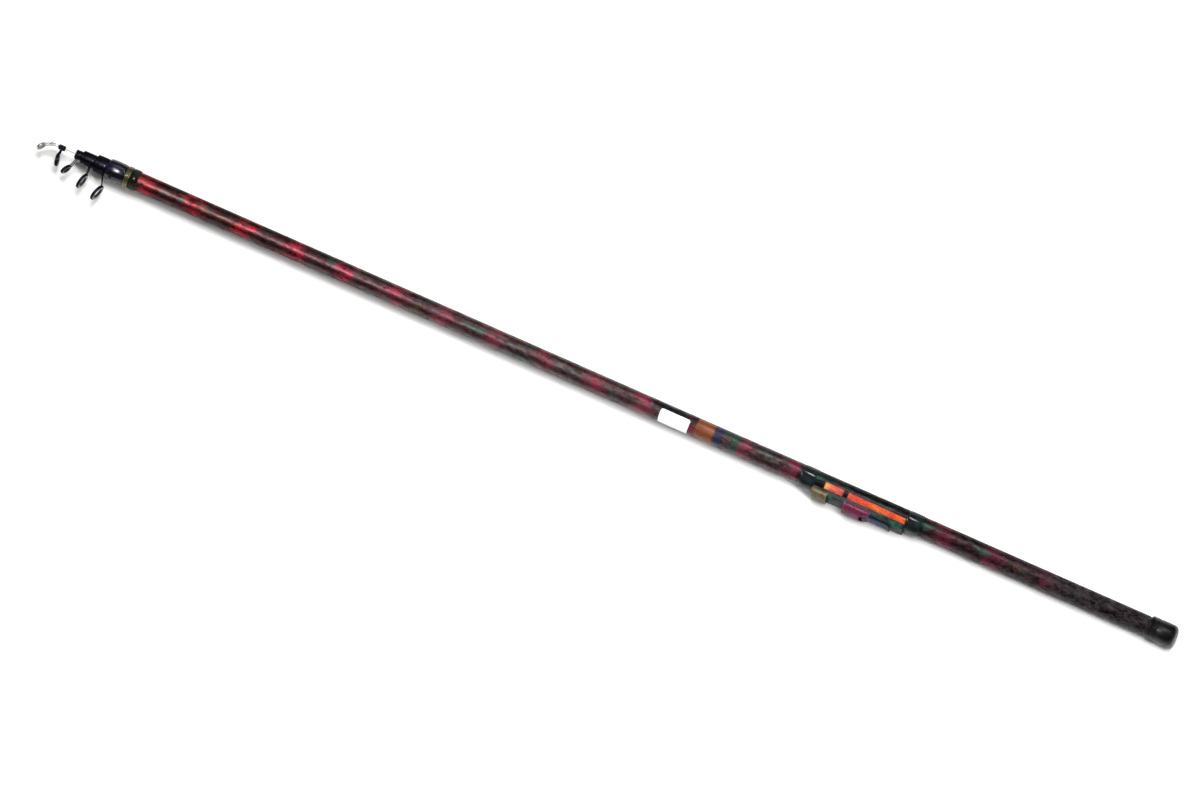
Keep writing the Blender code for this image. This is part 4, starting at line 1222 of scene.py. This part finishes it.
def makePlug():
    length, radius = buttEnd["shankLength"], buttEnd["shankRadius"]
    start = flangeStart - length
    first, last, fade = start + 0.9, flangeStart - 1.6, 1.5     # the thread runs out at both ends

    def shape(x, reach, angle):
        if abs(reach - radius) > 0.01 or not first < x < last:
            return reach
        return reach - threadDepth(x, angle) * max(0.0, min(1.0, (x - first) / fade, (last - x) / fade))

    shank = [(start, 0), (start, radius * 0.5), (start, radius - 0.7), (start + 0.7, radius)]
    shank += [(x, radius) for x in spread(start + 0.8, flangeStart - 0.7, ceil((length - 1.5) / 0.2))]
    wide, core = buttEnd["flangeRadius"], buttEnd["coreRadius"]
    end = flangeStart + buttEnd["flange"]
    coreEnd = end + buttEnd["coreLength"]
    near, far, deep = buttEnd["coreGroove"]
    tail = rounded([
        (flangeStart, radius, 0.2), (flangeStart, wide, 0.35), (end, wide, 0.35), (end, core, 0.2),
        (end + near, core, 0.3), (end + near + 0.6, core - deep, 0.3), (end + far - 0.6, core - deep, 0.3),
        (end + far, core, 0.3), (coreEnd, core, 0.8), (coreEnd, core * 0.4, 0),
    ], 3)
    return turned(shank + tail + [(coreEnd, 0)], 64, loop=False, shape=shape)


def makeSeal():
    half = buttEnd["sealThickness"] / 2
    x, middle = buttEnd["sealStart"] + half, buttEnd["shankRadius"] + buttEnd["gap"] + half
    circle = [(x + half * cos(turn), middle + half * sin(turn)) for turn in arc(0, 360, 20)]
    return turned(circle[:-1], 80)


def makePad():
    end = flangeStart - buttEnd["shankLength"] - buttEnd["gap"]
    start, radius = end - buttEnd["padThickness"], buttEnd["shankRadius"] - 0.2
    face = [(start, reach) for reach in spread(0, radius, 8)[:-1]]
    rim = rounded([(start, radius, 0.7), (end, radius, 0.5), (end, radius * 0.6, 0)], 4)
    return turned(face + rim + [(end, 0)], 64, loop=False)


# Rubber cup: grooved skirt, round corner and a shallow ring in the end face
def makeBoot():
    start, wide, rounding = flangeStart, buttEnd["bootRadius"], buttEnd["bootRounding"]
    end = start + buttEnd["bootLength"]
    skirtBore, coreBore = buttEnd["flangeRadius"] + buttEnd["gap"], buttEnd["coreRadius"] + buttEnd["gap"]
    step = start + buttEnd["flange"] + buttEnd["gap"]
    floor = step + buttEnd["coreLength"]
    inside = [(floor, 0), (floor, coreBore * 0.5)]
    inside += rounded([
        (floor, coreBore, 0.4), (step, coreBore, 0.3), (step, skirtBore, 0.3), (start, skirtBore, 0.25),
        (start, wide - 0.5, 0.3), (start + 0.9, wide, 0.5), (end - rounding, wide, 0),
    ], 4)[:-1]
    outside = []
    for groove in buttEnd["bootGrooves"]:
        for t in spread(0, 1, 8):
            dip = buttEnd["grooveDepth"] * sin(pi * t) ** 1.5
            outside.append((start + groove + buttEnd["grooveWidth"] * t, wide - dip))
    outside.append((end - rounding - 4, wide))
    for turn in arc(0, 90, 12):
        outside.append((end - rounding * (1 - sin(turn)) - 0.25, wide - rounding * (1 - cos(turn))))
    ring, face = wide - rounding - 1.6, end - 0.05
    cap = rounded([
        (face, ring + 1.0, 0.3), (face, ring, 0.25), (end - 0.75, ring - 0.35, 0.25),
        (end - 0.75, ring - 0.9, 0.25), (face, ring - 1.25, 0.25), (end, 1.2, 0),
    ], 3)
    return turned(inside + outside + cap + [(end, 0)], 96, loop=False)


makePiece("threadBush", makeBush(), "aluminium", "butt", "thread_bush")
makePiece("capSeal", makeSeal(), "seal", "cap_seal", "cap_seal")
makePiece("capPlug", makePlug(), "aluminium", "butt_cap", "cap_plug")
makePiece("capPad", makePad(), "foam", "butt_cap", "cap_pad")
makePiece("capBoot", makeBoot(), "rubber", "butt_cap", "cap_boot")
print("butt end made")


# Inner sections with their whippings and guides

# A ring is given as (x, height over the axis, lean in degrees, radius), with x from the front of its sleeve
# or tube. The legs stand on the sleeve at legSeat from its front.
sections = {
    "section_2": {
        "taper": 1.10, "wall": 0.90, "stopBore": 8.4, "guide": "guide_2", "sleeve": 13.0,
        "ring": (14.2, 28.5, 19, 9.0), "insertWall": 2.3, "legSeat": 11,
    },
    "section_3": {
        "taper": 1.15, "wall": 0.80, "stopBore": 6.346, "guide": "guide_3", "sleeve": 15.0,
        "ring": (10.5, 23.5, 15, 8.6), "insertWall": 2.3, "legSeat": 10.5,
    },
    "section_4": {
        "taper": 1.20, "wall": 0.75, "stopBore": 4.343, "guide": "guide_4", "sleeve": 7.1,
        "ring": (-2.0, 19.0, 32, 6.2), "insertWall": 1.8, "legSeat": 3,
    },
}

slider = {
    "bore": 1.45, "wall": 1.3, "sleeve": 7, "ring": (4.4, 13.8, -12, 6.3), "insertWall": 1.8,
    "legSeat": 3.5, "legRadius": 0.95, "legFoot": 0.4, "holderWidth": 3.0, "insertWidth": 3.9,
}

# What all the guides share, apart from what the slider has of its own
guide = {
    "holderWall": 0.9,
    "holderWidth": 2.3,
    "insertWidth": 3.2,
    "insertSink": 0.3,            # how far the insert's round side starts under the holder
    "legRadius": 0.52,
    "legFoot": 0.85,              # how much thicker a leg is where it stands on the sleeve
    "legSink": 0.35,
    "legSeatTurn": 38,            # degrees round the sleeve from the guide side
    "legRingTurn": 34,            # degrees round the ring from its lowest point
    "legBow": 0.78,
    "overhang": 0.3,              # the sleeve stands this far past the section's front
    "sleeveRise": 0.5,
    "gap": 0.3,
    "whipping": (11, 0.5, 0.12, 1.4),     # length, edge height, bulge and shoulder
}


def ringMatrix(x, h, lean):
    return Matrix.Translation((x, -h, 0)) @ Matrix.Rotation(-radians(lean), 4, "Z")


# Sine or cosine that stays longer near its ends, for rolled edges
def squared(value):
    return copysign(abs(value) ** 0.6, value)


# Stamped holder with rolled edges
def ringHolder(x, h, lean, radius, width=guide["holderWidth"]):
    wall = guide["holderWall"] / 2
    profile = []
    for turn in arc(0, 360, 16)[:-1]:
        profile.append((width / 2 * squared(cos(turn)), radius - wall + wall * squared(sin(turn))))
    return turned(profile, 64).moved(ringMatrix(x, h, lean))


# Hard ring, round towards its bore and nearly flat where the holder grips it
def ringInsert(x, h, lean, radius, wall, width=guide["insertWidth"]):
    half, outer, sink = width / 2, radius - guide["holderWall"] - 0.02, guide["insertSink"]
    bore = radius - guide["holderWall"] - sink - wall
    depth = outer - sink - bore
    profile = [(-half * 0.86, outer), (half * 0.86, outer), (half * 0.97, outer - 0.12)]
    for turn in arc(0, 180, 14):
        profile.append((half * cos(turn), bore + depth * (1 - sin(turn) ** 0.8)))
    profile.append((-half * 0.97, outer - 0.12))
    return turned(profile, 72).moved(ringMatrix(x, h, lean))


# A point in the holder's wall, an angle round from the ring's lowest point
def ringPoint(x, h, lean, radius, turn):
    along, away = radians(lean), radians(turn)
    middle = radius - guide["holderWall"] / 2
    down = middle * cos(away)
    return Vector((x + down * sin(along), -(h - down * cos(along)), middle * sin(away)))


# Sleeve with a rolled front lip and a groove behind it, the holder on its two legs, and the hard ring in it
def makeGuide(title, node, body, front, bore, outer, values):
    values = {**guide, **values}
    x, *rest = values["ring"]
    ring = (front + x, *rest)
    end = front + values["sleeve"]
    sleeve = turned(rounded([
        (front, bore, 0.2), (front, outer - 0.05, 0.35), (front + 1.5, outer, 0.3),
        (front + 1.75, outer - 0.28, 0.2), (front + 2.4, outer - 0.28, 0.2),
        (front + 2.65, outer - 0.04, 0.2), (end - 1.6, outer - 0.04, 0.3),
        (end, outer - 0.4, 0.25), (end, bore, 0.15),
    ], 3), 80)
    parts = [ringHolder(*ring, values["holderWidth"])]
    seatRadius = outer - values["legRadius"] * guide["legSink"]
    for side in (-1, 1):
        foot = polar(front + values["legSeat"], seatRadius, side * radians(guide["legSeatTurn"]))
        head = ringPoint(*ring, side * guide["legRingTurn"])
        middle = foot.lerp(head, 0.5)
        control = Vector(((foot.x + middle.x) / 2, middle.y, side * seatRadius * guide["legBow"]))
        parts.append(brazedWire(foot, control, head, values["legRadius"], values["legFoot"]))
    makePiece(title + "Frame", worked(sleeve, parts, "UNION"), "frame", body, node + "_frame")
    insert = ringInsert(*ring, values["insertWall"], values["insertWidth"])
    makePiece(title + "Ring", insert, "ceramic", body, node + "_ring")


def makeSection(name, values):
    front, end, base = span(name + "_blank")
    tip = base - values["taper"]

    def under(x):
        return tip + values["taper"] * (x - front) / (end - front)

    shell = tube(front, end, tip, base, values["wall"], rounding=0.22, sides=80, longest=60)
    makePiece(name + "Blank", shell, "sections", name, name + "_blank")
    sleeveFront, title = front - guide["overhang"], values["guide"]
    sleeveEnd = sleeveFront + values["sleeve"]
    outer = values["stopBore"] + guide["sleeveRise"]
    makeGuide(title, title, name, sleeveFront, under(sleeveEnd) + 0.03, outer, values)
    start = sleeveEnd + guide["gap"]
    wound, *heights = guide["whipping"]
    wrap = coatedBand(start, start + wound, under, *heights)
    makePiece(name + "Whipping", wrap, "collar", name, name + "_whipping")


for name, values in sections.items():
    makeSection(name, values)
print("inner sections made")


# Tip section with its tip-top and the guide that slides on it

tip = {
    "frontRadius": 0.6,
    "tubeLength": 9,
    "tubeBore": 0.85,
    "tubeOuter": 1.55,
    "overhang": 1.0,
    "ring": (-7.4, 7.2, 36, 5.4),
    "insertWall": 1.0,
    "wire": 0.6,
    "seatTurn": 60,
    "ringTurn": 55,
    "bowAhead": 2.2,
    "bowWidth": 0.67,
    "braceAhead": 2.0,
}


def makeTipTop(front, ring):
    bore, outer, length, wire = tip["tubeBore"], tip["tubeOuter"], tip["tubeLength"], tip["wire"]
    shell = turned(rounded([
        (front, bore, 0.12), (front, outer, 0.2), (front + length, outer, 0.25), (front + length, bore, 0.12),
    ], 3), 48)
    parts = [ringHolder(*ring)]
    for side in (-1, 1):
        turn = side * radians(tip["seatTurn"])
        start = polar(front + length / 2, outer - wire * guide["legSink"], turn)
        control = Vector((front - tip["bowAhead"], -outer, side * ring[3] * tip["bowWidth"]))
        parts.append(brazedWire(start, control, ringPoint(*ring, side * tip["ringTurn"]), wire, 0.25, 0.4))
    start = Vector((front + 1, -(bore + outer) / 2, 0))
    control = Vector((front - tip["braceAhead"], -outer, 0))
    parts.append(brazedWire(start, control, ringPoint(*ring, 0), wire * 0.8, 0.05, steps=20))
    return worked(shell, parts, "UNION")


def makeTip():
    front, end, base = span("tip_blank")
    thin = tip["frontRadius"]
    profile = [(front, 0), (front, thin * 0.7), (front + 0.15, thin)]
    profile += list(zip(spread(front, end, 24), spread(thin, base, 24)))[1:-1]
    profile += [(end - 0.3, base), (end, base - 0.3), (end, 0)]
    makePiece("tipBlank", turned(profile, 40, loop=False), "tip", "tip_section", "tip_blank")

    tubeFront = front - tip["overhang"]
    x, *rest = tip["ring"]
    ring = (tubeFront + x, *rest)
    frameShell = makeTipTop(tubeFront, ring)
    makePiece("tipTopFrame", frameShell, "tipTop", "tip_section", "tip_top_frame")
    insert = ringInsert(*ring, tip["insertWall"])
    makePiece("tipTopRing", insert, "paleCeramic", "tip_section", "tip_top_ring")

    front, bore = tubeFront + tip["tubeLength"] + guide["gap"], slider["bore"]
    makeGuide("slidingGuide", "sliding_guide", "sliding_guide", front, bore, bore + slider["wall"], slider)


makeTip()
print("tip section made")


# Floor: one large pale sheet, and a pale round wall far away that only the camera sees

def makeSheet(name, shell, finish):
    mesh = bpy.data.meshes.new(name)
    mesh.from_pydata([tuple(point) for point in shell.points], [], shell.faces)
    mesh.materials.append(finish.material)
    sheet = placed(name, mesh)
    return sheet


def makeStage():
    ground = Finish("ground", colour=studio["floorColour"], gloss=0.0)
    ground.set(roughness=0.92 + ground.noise(3.0, 2.0) * 0.06)
    size = studio["floorSize"] / 2
    corners = [Vector((x, y, 0)) for x, y in ((-size, -size), (size, -size), (size, size), (-size, size))]
    makeSheet("floor", Shell(corners, [range(4)]), ground)

    paper = Finish("paper", colour=(0, 0, 0), roughness=1.0, gloss=0.0)
    paper.set(glow=studio["wallColour"], glowStrength=1.0)
    outside = paper.node("NewGeometry", output=6)      # the wall can be looked through from outside
    lit, clear = Wire(paper, paper.shader.outputs[0]), paper.node("BsdfTransparent")
    shown = paper.node("MixShader", values={0: outside, 1: lit, 2: clear})
    paper.tree.links.new(shown.socket, paper.tree.nodes["Material Output"].inputs["Surface"])
    shell = Shell()
    far, turns = studio["wallDistance"], arc(0, 360, studio["wallSides"])[:-1]
    low, high = [
        shell.ring([Vector((far * cos(turn), far * sin(turn), height)) for turn in turns])
        for height in studio["wallHeights"]
    ]
    shell.bridge(high, low)
    wall = makeSheet("wall", shell, paper)
    for ray in ("diffuse", "glossy", "transmission", "shadow"):
        setattr(wall, "visible_" + ray, False)


makeStage()
print("floor made")
